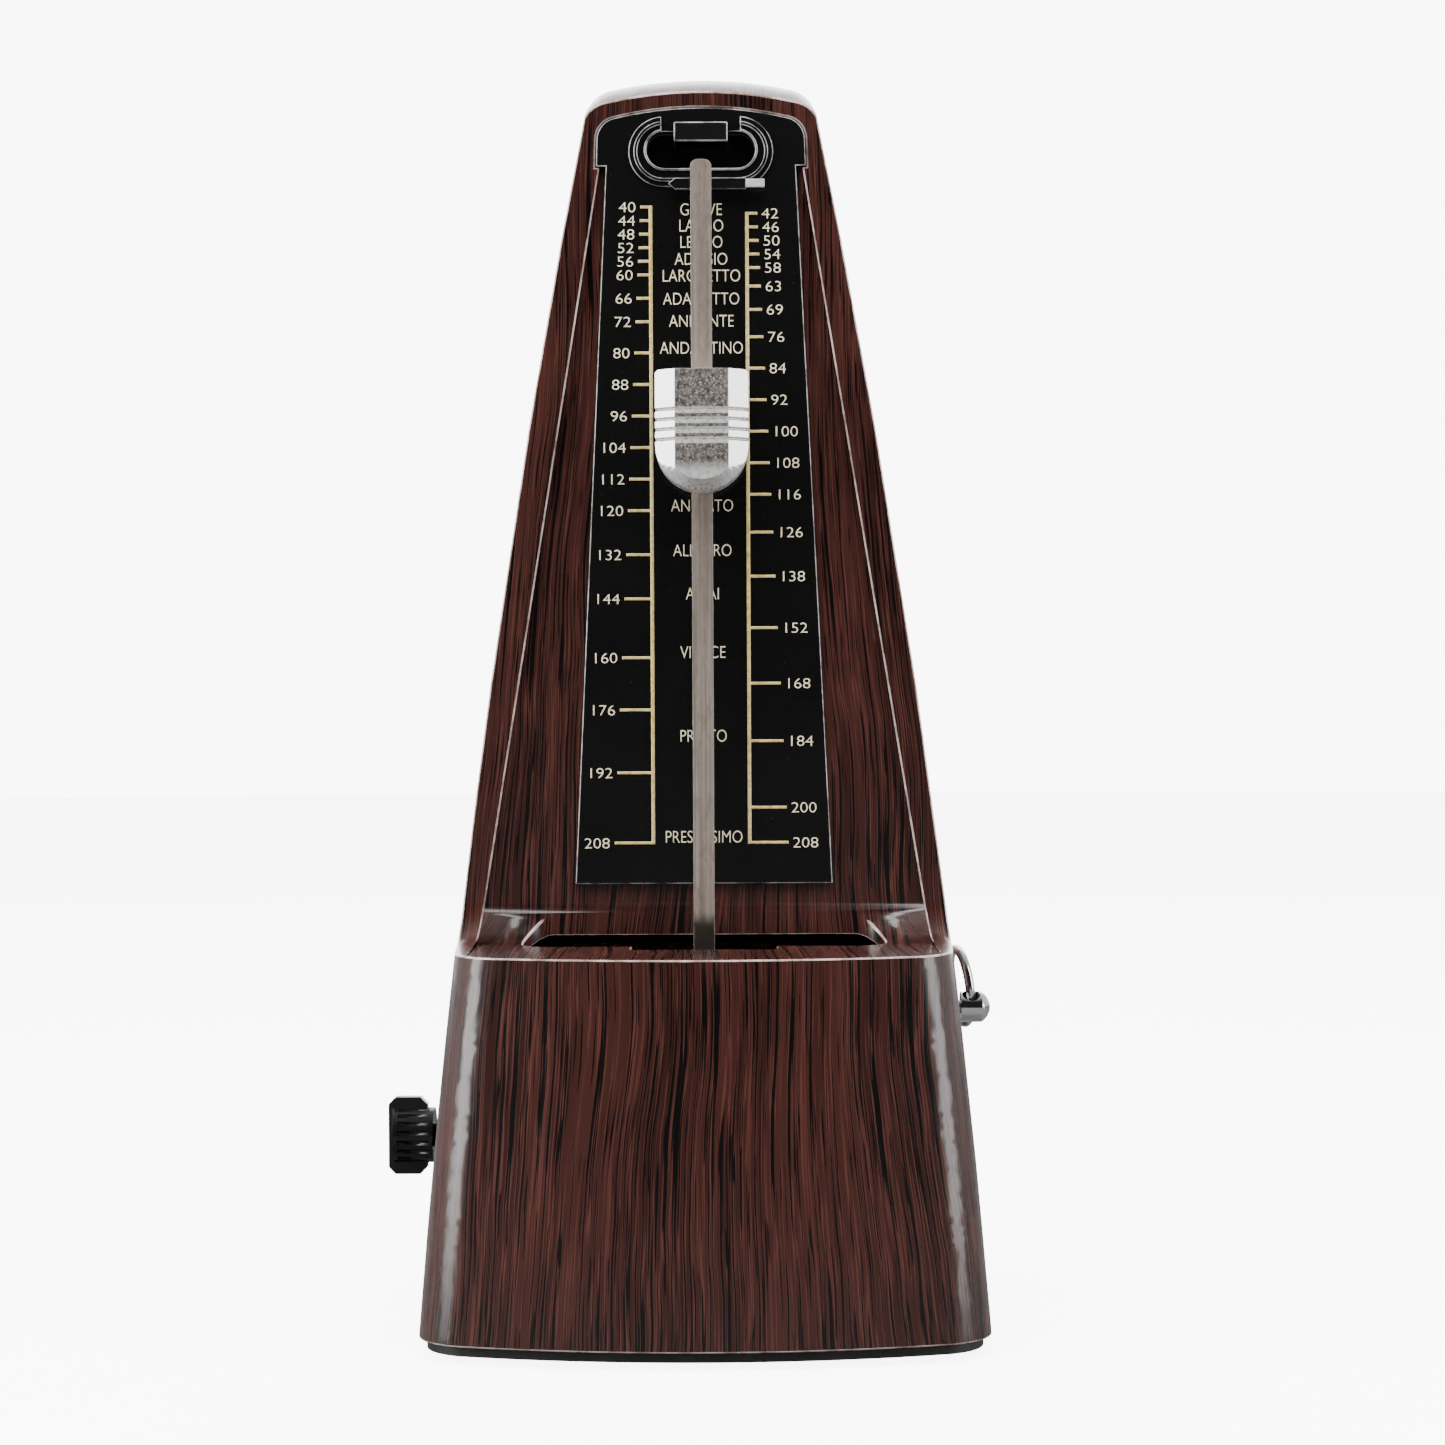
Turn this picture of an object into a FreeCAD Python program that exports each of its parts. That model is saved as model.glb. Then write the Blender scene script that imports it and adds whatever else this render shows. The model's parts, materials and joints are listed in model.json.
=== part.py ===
import FreeCAD, Part
import math
import os
from FreeCAD import Vector

# Mechanical metronome: a tower case with a wind-up movement, a pendulum and a beat bell.
# Millimetres. +X is to the right, the front faces -Y and +Z is up.
# The origin is on the floor, under the centre of the case.

# ---- driving dimensions: case --------------------------------------------------------------
HEIGHT = 224.0
CASE_BOTTOM = 3.0
LEDGE_Z = 68.0
LEDGE_FALL = 0.022                    # fall of the ledge towards the front, per unit of depth
TAPER_TOP_Z = 225.0
HALF_WIDTHS = (50.4, 43.95, 19.0)     # at the floor, at the ledge and at TAPER_TOP_Z
HALF_DEPTHS = (50.8, 44.4, 21.0)
FRONT_BOW = 0.175                     # rise of the front's arc, as a share of the half width
SIDE_BOW = 0.062
CORNER_RADIUS = 11.0
WALL = 2.2
SECTION_COUNT = 7

ARCH_RADIUS = 77.0                    # top edge, seen from the front
ARCH_CORNER = 5.5
DOME_RADIUS = 27.0                    # top edge, seen from the side
DOME_Y = 5.0
DOME_FRONT_Y = -14.0
DOME_BACK_Y = 26.0
DOME_FOOT_Z = 206.0

RIM_Y = -9.8                          # front rim of the tower above the ledge
PANEL_Y = -9.0                        # sunk panel inside the rim
PANEL_BACK_Y = -7.6
COVE_RADIUS = 7.0
INNER_COVE_RADIUS = 8.2
PANEL_HALF_BOTTOM = 40.2
PANEL_HALF_TOP = 18.0
PANEL_TOP_Z = 206.5

SLOT_HALF = 32.0
SLOT_FRONT_Y = -20.0
SLOT_BACK_Y = -9.3
NOTCH_HALF = 12.6
NOTCH_FRONT_Y = -26.0

# ---- driving dimensions: scale plate --------------------------------------------------------
PLATE_THICK = 1.2
PLATE_FRONT_Y = PANEL_Y - PLATE_THICK
PLATE_BOTTOM_Z = 78.3
PLATE_TOP_Z = 216.6
PLATE_NOTCH_Z = 206.2
PLATE_HALF_BOTTOM = 22.9
PLATE_HALF_NECK = 16.9
PLATE_HALF_HEAD = 18.7
PLATE_ARCH_RADIUS = 67.0
PLATE_CORNER = 4.0
OVAL_Z = 209.0
OVAL_HALF_LENGTH = 9.7
OVAL_HALF_HEIGHT = 3.3
OVAL_DEPTH = 3.3
RIM_HALF_LENGTH = 12.0
RIM_HALF_HEIGHT = 5.4
RIM_PROUD = 0.7
CATCH_HALF = 4.8
CATCH_Z = (210.4, 213.9)
CLIP_X = (-5.8, 8.0)
CLIP_TIP_X = 11.3
CLIP_Z = (201.7, 203.7)
CLIP_Y = (-12.3, -11.5)

# ---- driving dimensions: movement -----------------------------------------------------------
PLATE_SHEET = 1.2
LEFT_PLATE_X = -24.0
RIGHT_PLATE_X = 14.0
SIDE_PLATE_Y = (-3.5, 37.0)
SIDE_PLATE_Z = (10.0, 60.0)
RUNNING = 0.05                        # radial clearance of a running fit

PRESSURE_ANGLE = math.radians(20)
GREAT_TEETH = 56
SECOND_PINION_TEETH = 12
DRIVE_MODULE = 0.6
SECOND_TEETH = 48
ESCAPE_PINION_TEETH = 10
TRAIN_MODULE = 0.5
BACKLASH = 0.12
ESCAPE_TEETH = 18
ESCAPE_RADIUS = 9.0

BARREL_AXIS = (14.0, 30.5)            # y and z of the winding arbor
SECOND_ANGLE = math.radians(54.42)    # from the winding arbor towards the second arbor
ESCAPE_ANGLE = math.radians(163.1)    # from the second arbor towards the escape arbor
SELECTOR_AXIS = (2.0, 55.0)

GREAT_X = (-19.0, -17.4)
BARREL_X = (-17.4, -3.2)
BARREL_RADIUS = 14.0
BARREL_SKIN = 0.9
SPRING_CORE_X = (-15.8, -4.6)
SECOND_WHEEL_X = (6.4, 7.6)
ESCAPE_WHEEL_X = (-0.5, 0.5)
CAM_X = 18.0
CAM_THICK = 2.0
CAM_LOBES = (18, 12, 9, 6)
CAM_RADIUS = 6.0
RATCHET_X = (-27.0, -25.6)
RATCHET_RADIUS = 7.0
RATCHET_TEETH = 16
CLICK_PIVOT = (4.5, 39.6)

ARBOR = 1.2                           # plain arbor radius
WIND_ARBOR = 1.8                      # the winding arbor between the side plates
WIND_ARBOR_CORE = 3.0                 # its thick part inside the mainspring
PIVOT = 0.8                           # radius of the pivots that run in the side plates
WIND_PIVOT = 1.45
PILLARS = ((-0.5, 13.0), (33.0, 13.5), (34.5, 33.0), (-1.0, 44.0))
PILLAR_RADIUS = 2.0

# ---- driving dimensions: pendulum -----------------------------------------------------------
PIVOT_Z = 62.5
ROD_Y = (-14.0, -13.0)
ROD_WIDTH = 3.7
ROD_TOP_Z = 206.7
ROD_BOTTOM_Z = 14.5
ROD_TIP_CORNER = 1.2
PENDULUM_ARBOR_BACK_Y = 25.0
RIVET_RADIUS = 1.6                    # the rivet head in front of the rod
FRONT_BRIDGE_Y = (-5.0, -3.8)
REAR_BRIDGE_Y = (22.0, 23.2)
FRONT_PALLET_Y = 5.2
REAR_PALLET_Y = 18.8
PALLET_HANG = 4.3
BOB_RADIUS = 15.0
BOB_Y = (-21.5, -6.5)
BOB_Z = 26.5

WEIGHT_TOP_Z = 168.8
WEIGHT_HEIGHT = 21.2
WEIGHT_HALF = 8.2
WEIGHT_Y = (-21.8, -11.8)
WEIGHT_FACET_HALF = 4.7
WEIGHT_BEVEL_DEPTH = 2.6
WEIGHT_WALL = 1.5
WEIGHT_CORNER = 0.8
RIB_DROP = 7.0                        # from the weight's top to the first groove
RIB_PITCH = 1.75
RIB_COUNT = 4

# ---- driving dimensions: bell, selector and key ---------------------------------------------
BELL_AXIS = (24.0, 26.0)
BELL_RADIUS = 13.0
BELL_STUD = 1.5                       # radius of the post's ends
BELL_X = (25.0, 41.3)
HAMMER_X = (27.2, 29.0)
HAMMER_GAP = 0.8
HAMMER_HEAD = 2.0
SELECTOR_X = (3.5, 47.0)
SELECTOR_RADIUS = 1.2
COLLAR_RADIUS = 2.0
DETENT_X = 12.8
DETENT_PITCH = 2.0
DETENT_COUNT = 5
STUD_X = (46.5, 51.9)
STUD_RADIUS = 2.8
RING_HOLE_X = 48.4
RING_RADIUS = 6.8
RING_WIRE = 0.85
RING_TILT = math.radians(30)          # tilt of the stud's cross hole from upright
RING_LEAN = math.radians(12.5)         # lean of the ring towards the case
WALL_LEAN = math.radians(4.7)         # slope of the case's side where the bushes sit

KEY_WING_X = (-59.0, -51.8)
KEY_WING_HALF = 7.15
KEY_WING_THICK = 2.6
KEY_HUB_X = (-57.9, -50.5)
KEY_HUB_RADIUS = 5.1
KEY_STEM_END = -48.4
KEY_STEM_RADIUS = 2.2
KEY_BUSH_RADIUS = 6.5
KEY_SLEEVE_RADIUS = 4.5
KEY_SLEEVE_END = -43.5
SELECTOR_BUSH_RADIUS = 4.6
SELECTOR_SLEEVE_RADIUS = 3.1
SELECTOR_SLEEVE_END = 41.8
BUSH_SINK = 0.9                       # how deep the bushes' flanges sit in the case
WIND_ARBOR_END = -56.0                # the arbor's outer end, inside the key

# ---- driving dimensions: base ---------------------------------------------------------------
BASE_Z = (1.2, 5.0)
BASE_INSET = 1.4
FOOT_RADIUS = 6.5
FOOT_TOP = 1.7
FOOT_AT = (29.0, 31.0)
BOSS_AT = (39.0, 36.0)
BOSS_RADIUS = 3.5
BOSS_TOP = 12.0
SCREW_HOLE = 1.1
SCREW_HEAD = 1.9                      # head radius of the small screws
SCREW_HEAD_HEIGHT = 1.0
BASE_SCREW_HEAD = 2.5
BASE_SCREW_HEAD_HEIGHT = 1.3
BASE_SCREW_LENGTH = 7.0
BASE_SCREW_SINK = 1.5                 # depth of the pocket that takes the head
BOSS_RIB = 2.4
BOSS_RIB_LENGTH = 12.0
VENT_COUNT = 7                        # sound slots in the base plate
VENT_PITCH = 3.2
VENT_WIDTH = 1.6
VENT_Y = (-30.0, -12.0)
BRACKET_SCREW_Y = (9.0, 21.0)
BRACKET_SCREW_Z = 14.5
BRACKET_X = (-29.5, 20.0)             # screws that hold the brackets to the base
REAR_BRIDGE_SCREW = (25.5, 56.5)
FIT_GAP = 0.05                        # clearance between a screw and its hole


# ---- small shapes ---------------------------------------------------------------------------
def box(x0, x1, y0, y1, z0, z1):
    return Part.makeBox(x1 - x0, y1 - y0, z1 - z0, Vector(x0, y0, z0))


def rod_x(radius, x0, x1, at):
    return Part.makeCylinder(radius, x1 - x0, Vector(x0, at[0], at[1]), Vector(1, 0, 0))


def rod_y(radius, y0, y1, at):
    return Part.makeCylinder(radius, y1 - y0, Vector(at[0], y0, at[1]), Vector(0, 1, 0))


def rod_z(radius, z0, z1, at):
    return Part.makeCylinder(radius, z1 - z0, Vector(at[0], at[1], z0), Vector(0, 0, 1))


def union(shapes):
    return shapes[0].multiFuse(shapes[1:]).removeSplitter()


def group(shapes):
    return Part.makeCompound(shapes)


def line(start, end):
    return Part.makeLine(start, end)


def arc(start, middle, end):
    return Part.Arc(start, middle, end).toShape()


def prism_x(points, x0, x1):
    corners = [Vector(x0, y, z) for y, z in points]
    return Part.Face(Part.makePolygon(corners + corners[:1])).extrude(Vector(x1 - x0, 0, 0))


def prism_y(points, y0, y1):
    corners = [Vector(x, y0, z) for x, z in points]
    return Part.Face(Part.makePolygon(corners + corners[:1])).extrude(Vector(0, y1 - y0, 0))


def prism_z(points, z0, z1):
    corners = [Vector(x, y, z0) for x, y in points]
    return Part.Face(Part.makePolygon(corners + corners[:1])).extrude(Vector(0, 0, z1 - z0))


def bar_x(start, end, half, x0, x1):
    """A round-ended bar in the YZ plane, from x0 to x1."""
    dy = end[0] - start[0]
    dz = end[1] - start[1]
    length = math.hypot(dy, dz)
    ny = -dz / length * half
    nz = dy / length * half
    middle = prism_x(
        [
            (start[0] + ny, start[1] + nz),
            (start[0] - ny, start[1] - nz),
            (end[0] - ny, end[1] - nz),
            (end[0] + ny, end[1] + nz),
        ],
        x0,
        x1,
    )
    return union([middle, rod_x(half, x0, x1, start), rod_x(half, x0, x1, end)])


def stadium_y(half_length, half_height, centre_z, y0, y1):
    """A slot shape seen from the front: straight in the middle, round at both ends."""
    straight = half_length - half_height
    middle = box(-straight, straight, y0, y1, centre_z - half_height, centre_z + half_height)
    ends = [rod_y(half_height, y0, y1, (side * straight, centre_z)) for side in (-1, 1)]
    return union([middle] + ends)


def screw(tip, direction, head_radius, head_height, shank_radius, length):
    """A cheese-head screw: the shank runs back from its tip, and the head has a slot."""
    seat = tip + direction * length
    shank = Part.makeCylinder(shank_radius, length, tip, direction)
    head = Part.makeCylinder(head_radius, head_height, seat, direction)
    side = Vector(0, 0, 1) if abs(direction.z) < 0.5 else Vector(0, 1, 0)
    across = direction.cross(side)
    corner = seat + direction * (head_height * 0.6) - side * head_radius - across * 0.3
    slot = Part.makePolygon(
        [
            corner,
            corner + side * (2 * head_radius),
            corner + side * (2 * head_radius) + across * 0.6,
            corner + across * 0.6,
            corner,
        ]
    )
    groove = Part.Face(slot).extrude(direction * head_height)
    return shank.fuse(head).removeSplitter().cut(groove)


def small_screw(tip, direction, length):
    return screw(
        tip, direction, SCREW_HEAD, SCREW_HEAD_HEIGHT, SCREW_HOLE - FIT_GAP, length
    )


def coil(radius, wire, turns, pitch, start, direction):
    """A close helical spring."""
    helix = Part.makeHelix(pitch, pitch * turns, radius)
    section = Part.Wire([Part.makeCircle(wire, Vector(radius, 0, 0), Vector(0, 1, 0))])
    spring = Part.Wire(helix.Edges).makePipeShell([section], True, True)
    spring.Placement = FreeCAD.Placement(start, FreeCAD.Rotation(Vector(0, 0, 1), direction))
    return spring


# ---- gears ----------------------------------------------------------------------------------
def involute(angle):
    return math.tan(angle) - angle


def polar(x, centre, radius, angle):
    return Vector(x, centre[0] + radius * math.cos(angle), centre[1] + radius * math.sin(angle))


def spur_gear(teeth, module, x0, x1, centre, phase, addendum=1.0):
    """An involute gear about X with a tooth centred at the angle phase in the YZ plane."""
    pitch_radius = module * teeth / 2
    base = pitch_radius * math.cos(PRESSURE_ANGLE)
    tip = pitch_radius + addendum * module
    root = pitch_radius - 1.25 * module
    start = max(base, root)
    half_tooth = math.pi / (2 * teeth) - BACKLASH / (2 * pitch_radius)
    at_pitch = involute(PRESSURE_ANGLE)

    def flank_angle(radius):
        return half_tooth + at_pitch - involute(math.acos(min(1.0, base / radius)))

    radii = [start + (tip - start) * i / 4 for i in range(5)]
    step = 2 * math.pi / teeth
    edges = []
    for i in range(teeth):
        middle = phase + i * step
        rise = [polar(x0, centre, r, middle - flank_angle(r)) for r in radii]
        fall = [polar(x0, centre, r, middle + flank_angle(r)) for r in reversed(radii)]
        foot_in = polar(x0, centre, root, middle - flank_angle(start))
        foot_out = polar(x0, centre, root, middle + flank_angle(start))
        next_foot = polar(x0, centre, root, middle + step - flank_angle(start))
        valley = polar(x0, centre, root, middle + step / 2)
        if start > root:
            edges.append(line(foot_in, rise[0]))
        for points in (rise, fall):
            flank = Part.BSplineCurve()
            flank.interpolate(points)
            edges.append(flank.toShape())
            if points is rise:
                edges.append(arc(rise[-1], polar(x0, centre, tip, middle), fall[0]))
        if start > root:
            edges.append(line(fall[-1], foot_out))
        edges.append(arc(foot_out, valley, next_foot))
    return Part.Face(Part.Wire(Part.__sortEdges__(edges))).extrude(Vector(x1 - x0, 0, 0))


def saw_wheel(teeth, tip, root, x0, x1, centre):
    """A wheel with one-sided pointed teeth."""
    step = 2 * math.pi / teeth
    corners = []
    for i in range(teeth):
        corners.append(polar(x0, centre, tip, i * step))
        corners.append(polar(x0, centre, root, i * step + step * 0.15))
    return Part.Face(Part.makePolygon(corners + corners[:1])).extrude(Vector(x1 - x0, 0, 0))


def lighten(wheel, count, orbit, radius, x0, x1, centre):
    """Round windows between a wheel's spokes."""
    for i in range(count):
        spot = polar(0, centre, orbit, 2 * math.pi * i / count)
        wheel = wheel.cut(rod_x(radius, x0 - 1, x1 + 1, (spot.y, spot.z)))
    return wheel


def along(start, distance, angle):
    return (start[0] + distance * math.cos(angle), start[1] + distance * math.sin(angle))


SECOND_AXIS = along(
    BARREL_AXIS, DRIVE_MODULE * (GREAT_TEETH + SECOND_PINION_TEETH) / 2, SECOND_ANGLE
)
ESCAPE_AXIS = along(
    SECOND_AXIS, TRAIN_MODULE * (SECOND_TEETH + ESCAPE_PINION_TEETH) / 2, ESCAPE_ANGLE
)


# ---- case -----------------------------------------------------------------------------------
def taper(values):
    """A parabola through the values at the floor, at the ledge and at TAPER_TOP_Z."""
    floor, ledge, top = values
    rise = (top - floor) / TAPER_TOP_Z
    bend = (rise - (ledge - floor) / LEDGE_Z) / (TAPER_TOP_Z - LEDGE_Z)
    slope = (ledge - floor) / LEDGE_Z - bend * LEDGE_Z
    return lambda z: floor + slope * z + bend * z * z


half_width = taper(HALF_WIDTHS)
half_depth = taper(HALF_DEPTHS)


def section_wire(z, inset):
    """The case's plan outline: bowed front, back and sides, and round corners."""
    a = half_width(z)
    b = half_depth(z)
    front_rise = FRONT_BOW * a
    side_rise = SIDE_BOW * b
    front_radius = (a * a + front_rise**2) / (2 * front_rise)
    side_radius = (b * b + side_rise**2) / (2 * side_rise)
    corner = CORNER_RADIUS * math.sqrt(a / HALF_WIDTHS[0])
    front_centre = Vector(0, front_radius - b, 0)
    side_centre = Vector(a - side_radius, 0, 0)
    # the corner's arc touches both bows from the inside
    across = side_centre - front_centre
    reach = front_radius - corner
    t = (across.Length**2 + reach**2 - (side_radius - corner) ** 2) / (2 * across.Length)
    h = math.sqrt(reach**2 - t**2)
    unit = Vector(across).normalize()
    corner_centre = front_centre + unit * t + Vector(-unit.y, unit.x, 0) * h
    if corner_centre.y > 0:
        corner_centre = front_centre + unit * t - Vector(-unit.y, unit.x, 0) * h
    to_front = (corner_centre - front_centre).normalize()
    to_side = (corner_centre - side_centre).normalize()
    front = front_centre + to_front * (front_radius - inset)
    side = side_centre + to_side * (side_radius - inset)
    bend = corner_centre + (to_front + to_side).normalize() * (corner - inset)
    nose = Vector(0, inset - b, 0)
    flank = Vector(a - inset, 0, 0)

    def at(point, sx, sy):
        return Vector(point.x * sx, point.y * sy, z)

    return Part.Wire(
        [
            arc(at(front, -1, 1), at(nose, 1, 1), at(front, 1, 1)),
            arc(at(front, 1, 1), at(bend, 1, 1), at(side, 1, 1)),
            arc(at(side, 1, 1), at(flank, 1, 1), at(side, 1, -1)),
            arc(at(side, 1, -1), at(bend, 1, -1), at(front, 1, -1)),
            arc(at(front, 1, -1), at(nose, 1, -1), at(front, -1, -1)),
            arc(at(front, -1, -1), at(bend, -1, -1), at(side, -1, -1)),
            arc(at(side, -1, -1), at(flank, -1, 1), at(side, -1, 1)),
            arc(at(side, -1, 1), at(bend, -1, 1), at(front, -1, 1)),
        ]
    )


def tower(inset, z0, z1):
    steps = SECTION_COUNT - 1
    heights = [z0 + (z1 - z0) * i / steps for i in range(SECTION_COUNT)]
    return Part.makeLoft([section_wire(z, inset) for z in heights], True, False)


def round_head(top_z, arch, corner, side_x, side_z, lean, foot_z, y):
    """A face seen from the front: an arched top, round corners and leaning straight sides."""
    # the side's line passes (side_x, side_z) and leans inwards by lean per unit of height
    norm = math.hypot(1.0, lean)
    along_side = (-lean / norm, 1 / norm)
    inward = (-1 / norm, -lean / norm)
    arch_z = top_z - arch
    px = side_x + inward[0] * corner
    pz = side_z + inward[1] * corner - arch_z
    b = px * along_side[0] + pz * along_side[1]
    c = px * px + pz * pz - (arch - corner) ** 2
    t = -b + math.sqrt(b * b - c)
    centre = (px + along_side[0] * t, pz + along_side[1] * t + arch_z)
    reach = math.hypot(centre[0], centre[1] - arch_z)
    on_arch = (centre[0] / reach * arch, arch_z + (centre[1] - arch_z) / reach * arch)
    on_side = (centre[0] - inward[0] * corner, centre[1] - inward[1] * corner)
    mx = on_arch[0] - centre[0] + on_side[0] - centre[0]
    mz = on_arch[1] - centre[1] + on_side[1] - centre[1]
    size = math.hypot(mx, mz)
    bend = (centre[0] + mx / size * corner, centre[1] + mz / size * corner)
    foot_x = side_x + lean * (side_z - foot_z)
    edges = [
        line(Vector(-foot_x, y, foot_z), Vector(foot_x, y, foot_z)),
        line(Vector(foot_x, y, foot_z), Vector(on_side[0], y, on_side[1])),
        arc(
            Vector(on_side[0], y, on_side[1]),
            Vector(bend[0], y, bend[1]),
            Vector(on_arch[0], y, on_arch[1]),
        ),
        arc(
            Vector(on_arch[0], y, on_arch[1]),
            Vector(0, y, top_z),
            Vector(-on_arch[0], y, on_arch[1]),
        ),
        arc(
            Vector(-on_arch[0], y, on_arch[1]),
            Vector(-bend[0], y, bend[1]),
            Vector(-on_side[0], y, on_side[1]),
        ),
        line(Vector(-on_side[0], y, on_side[1]), Vector(-foot_x, y, foot_z)),
    ]
    return Part.Wire(edges)


def domed_top(inset):
    """The space above the case's domed top, which is cut away."""
    foot_z = DOME_FOOT_Z
    lean = (half_width(foot_z) - half_width(TAPER_TOP_Z)) / (TAPER_TOP_Z - foot_z)
    side_x = half_width(foot_z) - inset + 0.05
    wires = []
    for i in range(SECTION_COUNT):
        y = DOME_FRONT_Y + (DOME_BACK_Y - DOME_FRONT_Y) * i / (SECTION_COUNT - 1)
        drop = DOME_RADIUS - math.sqrt(DOME_RADIUS**2 - (y - DOME_Y) ** 2)
        top = HEIGHT - inset - drop
        corner = ARCH_CORNER - inset
        wires.append(
            round_head(top, ARCH_RADIUS - inset, corner, side_x, foot_z, lean, foot_z - 5, y)
        )
    cap = Part.makeLoft(wires, True, False)
    return box(-60, 60, -70, 70, foot_z, HEIGHT + 20).cut(cap)


def front_recess(plane_y, ledge_z, cove):
    """The space in front of the tower above the ledge, with a cove where the two meet."""
    far = -90.0
    high = HEIGHT + 20
    x = -70.0
    corner = Vector(x, plane_y, ledge_z)
    start = corner + Vector(0, -cove, 0)
    end = corner + Vector(0, 0, cove)
    share = cove * (1 - math.sqrt(0.5))
    brink = Vector(x, far, ledge_z - LEDGE_FALL * (start.y - far))
    edges = [
        line(Vector(x, plane_y, high), Vector(x, far, high)),
        line(Vector(x, far, high), brink),
        line(brink, start),
        arc(start, corner + Vector(0, -share, share), end),
        line(end, Vector(x, plane_y, high)),
    ]
    return Part.Face(Part.Wire(edges)).extrude(Vector(-2 * x, 0, 0))


def panel_wedge():
    """The part of the front, seen from ahead, that is sunk behind the rim."""
    flare = (PANEL_HALF_BOTTOM - PANEL_HALF_TOP) / (PANEL_TOP_Z - LEDGE_Z)
    foot = PANEL_HALF_BOTTOM + flare * 5
    low = LEDGE_Z - 5
    corners = [(-foot, low), (foot, low), (PANEL_HALF_TOP, PANEL_TOP_Z)]
    return prism_y(corners + [(-PANEL_HALF_TOP, PANEL_TOP_Z)], -60, 10)


def side_point(z):
    return half_width(z) - 0.1


def wall_disc(side, radius, at, sink, proud):
    """A disc that lies on the case's sloping side, from sink below it to proud above it."""
    y, z = at
    normal = Vector(side * math.cos(WALL_LEAN), 0, math.sin(WALL_LEAN))
    surface = Vector(side * side_point(z), y, z)
    return Part.makeCylinder(radius, sink + proud, surface - normal * sink, normal)


def key_bush_flange():
    return wall_disc(-1, KEY_BUSH_RADIUS, BARREL_AXIS, BUSH_SINK, 0.9)


def selector_bush_flange():
    return wall_disc(1, SELECTOR_BUSH_RADIUS, SELECTOR_AXIS, BUSH_SINK, 0.7)


def scale_outline(grow, y0, y1):
    """The scale plate's outline: a wide round head above a neck that widens downwards."""
    head = round_head(
        PLATE_TOP_Z + grow,
        PLATE_ARCH_RADIUS,
        PLATE_CORNER,
        PLATE_HALF_HEAD + grow,
        PLATE_NOTCH_Z,
        0.03,
        PLATE_NOTCH_Z - grow,
        y0,
    )
    head_block = Part.Face(head).extrude(Vector(0, y1 - y0, 0))
    low = PLATE_BOTTOM_Z - grow
    wide = PLATE_HALF_BOTTOM + grow
    neck = PLATE_HALF_NECK + grow
    high = PLATE_NOTCH_Z + 1
    body = prism_y([(-wide, low), (wide, low), (neck, high), (-neck, high)], y0, y1)
    return union([head_block, body])


def case_shell():
    outer = tower(0, CASE_BOTTOM, HEIGHT + 5).cut(domed_top(0))
    outer = outer.cut(front_recess(RIM_Y, LEDGE_Z, COVE_RADIUS))
    sunk = front_recess(PANEL_Y, LEDGE_Z, COVE_RADIUS).common(panel_wedge())
    inner = tower(WALL, CASE_BOTTOM - 2, HEIGHT + 5).cut(domed_top(WALL))
    inner = inner.cut(front_recess(PANEL_BACK_Y, LEDGE_Z - WALL, INNER_COVE_RADIUS))
    bosses = []
    for sx in (-1, 1):
        for sy in (-1, 1):
            x, y = sx * BOSS_AT[0], sy * BOSS_AT[1]
            bosses.append(rod_z(BOSS_RADIUS, BASE_Z[1] + 0.2, BOSS_TOP, (x, y)))
            rib_x = sorted((x, x + sx * BOSS_RIB_LENGTH))
            bosses.append(box(*rib_x, y - BOSS_RIB / 2, y + BOSS_RIB / 2, BASE_Z[1] + 0.2, BOSS_TOP))
    shell = outer.cut(inner)
    shell = shell.fuse(union(bosses).common(outer)).removeSplitter()
    shell = shell.cut(sunk).cut(scale_outline(0.15, PANEL_Y - 5, PANEL_Y))
    for sx in (-1, 1):
        for sy in (-1, 1):
            spot = (sx * BOSS_AT[0], sy * BOSS_AT[1])
            shell = shell.cut(rod_z(SCREW_HOLE, 0, BOSS_TOP - 1.5, spot))
    return shell.cut(union(shell_openings()))


def shell_openings():
    """The slot the pendulum swings in, the holes for the key and the selector, and the catch."""
    centre_y = (SLOT_FRONT_Y + SLOT_BACK_Y) / 2
    end_radius = (SLOT_BACK_Y - SLOT_FRONT_Y) / 2
    straight = SLOT_HALF - end_radius
    low, high = LEDGE_Z - 4, LEDGE_Z + COVE_RADIUS
    return [
        box(-straight, straight, SLOT_FRONT_Y, SLOT_BACK_Y, low, high),
        rod_z(end_radius, low, high, (-straight, centre_y)),
        rod_z(end_radius, low, high, (straight, centre_y)),
        box(-NOTCH_HALF, NOTCH_HALF, NOTCH_FRONT_Y, SLOT_FRONT_Y + 1, low, high),
        key_bush_flange(),
        rod_x(KEY_SLEEVE_RADIUS + 0.1, -60, -30, BARREL_AXIS),
        selector_bush_flange(),
        rod_x(SELECTOR_SLEEVE_RADIUS + 0.1, 30, 60, SELECTOR_AXIS),
        stadium_y(
            OVAL_HALF_LENGTH + 0.75, OVAL_HALF_HEIGHT + 0.75, OVAL_Z, PANEL_Y - 1, PANEL_BACK_Y + 1
        ),
    ]


def base_outline(inset, z0, z1):
    flat = section_wire(CASE_BOTTOM, inset)
    flat.translate(Vector(0, 0, z0 - CASE_BOTTOM))
    return Part.Face(flat).extrude(Vector(0, 0, z1 - z0))


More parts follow.
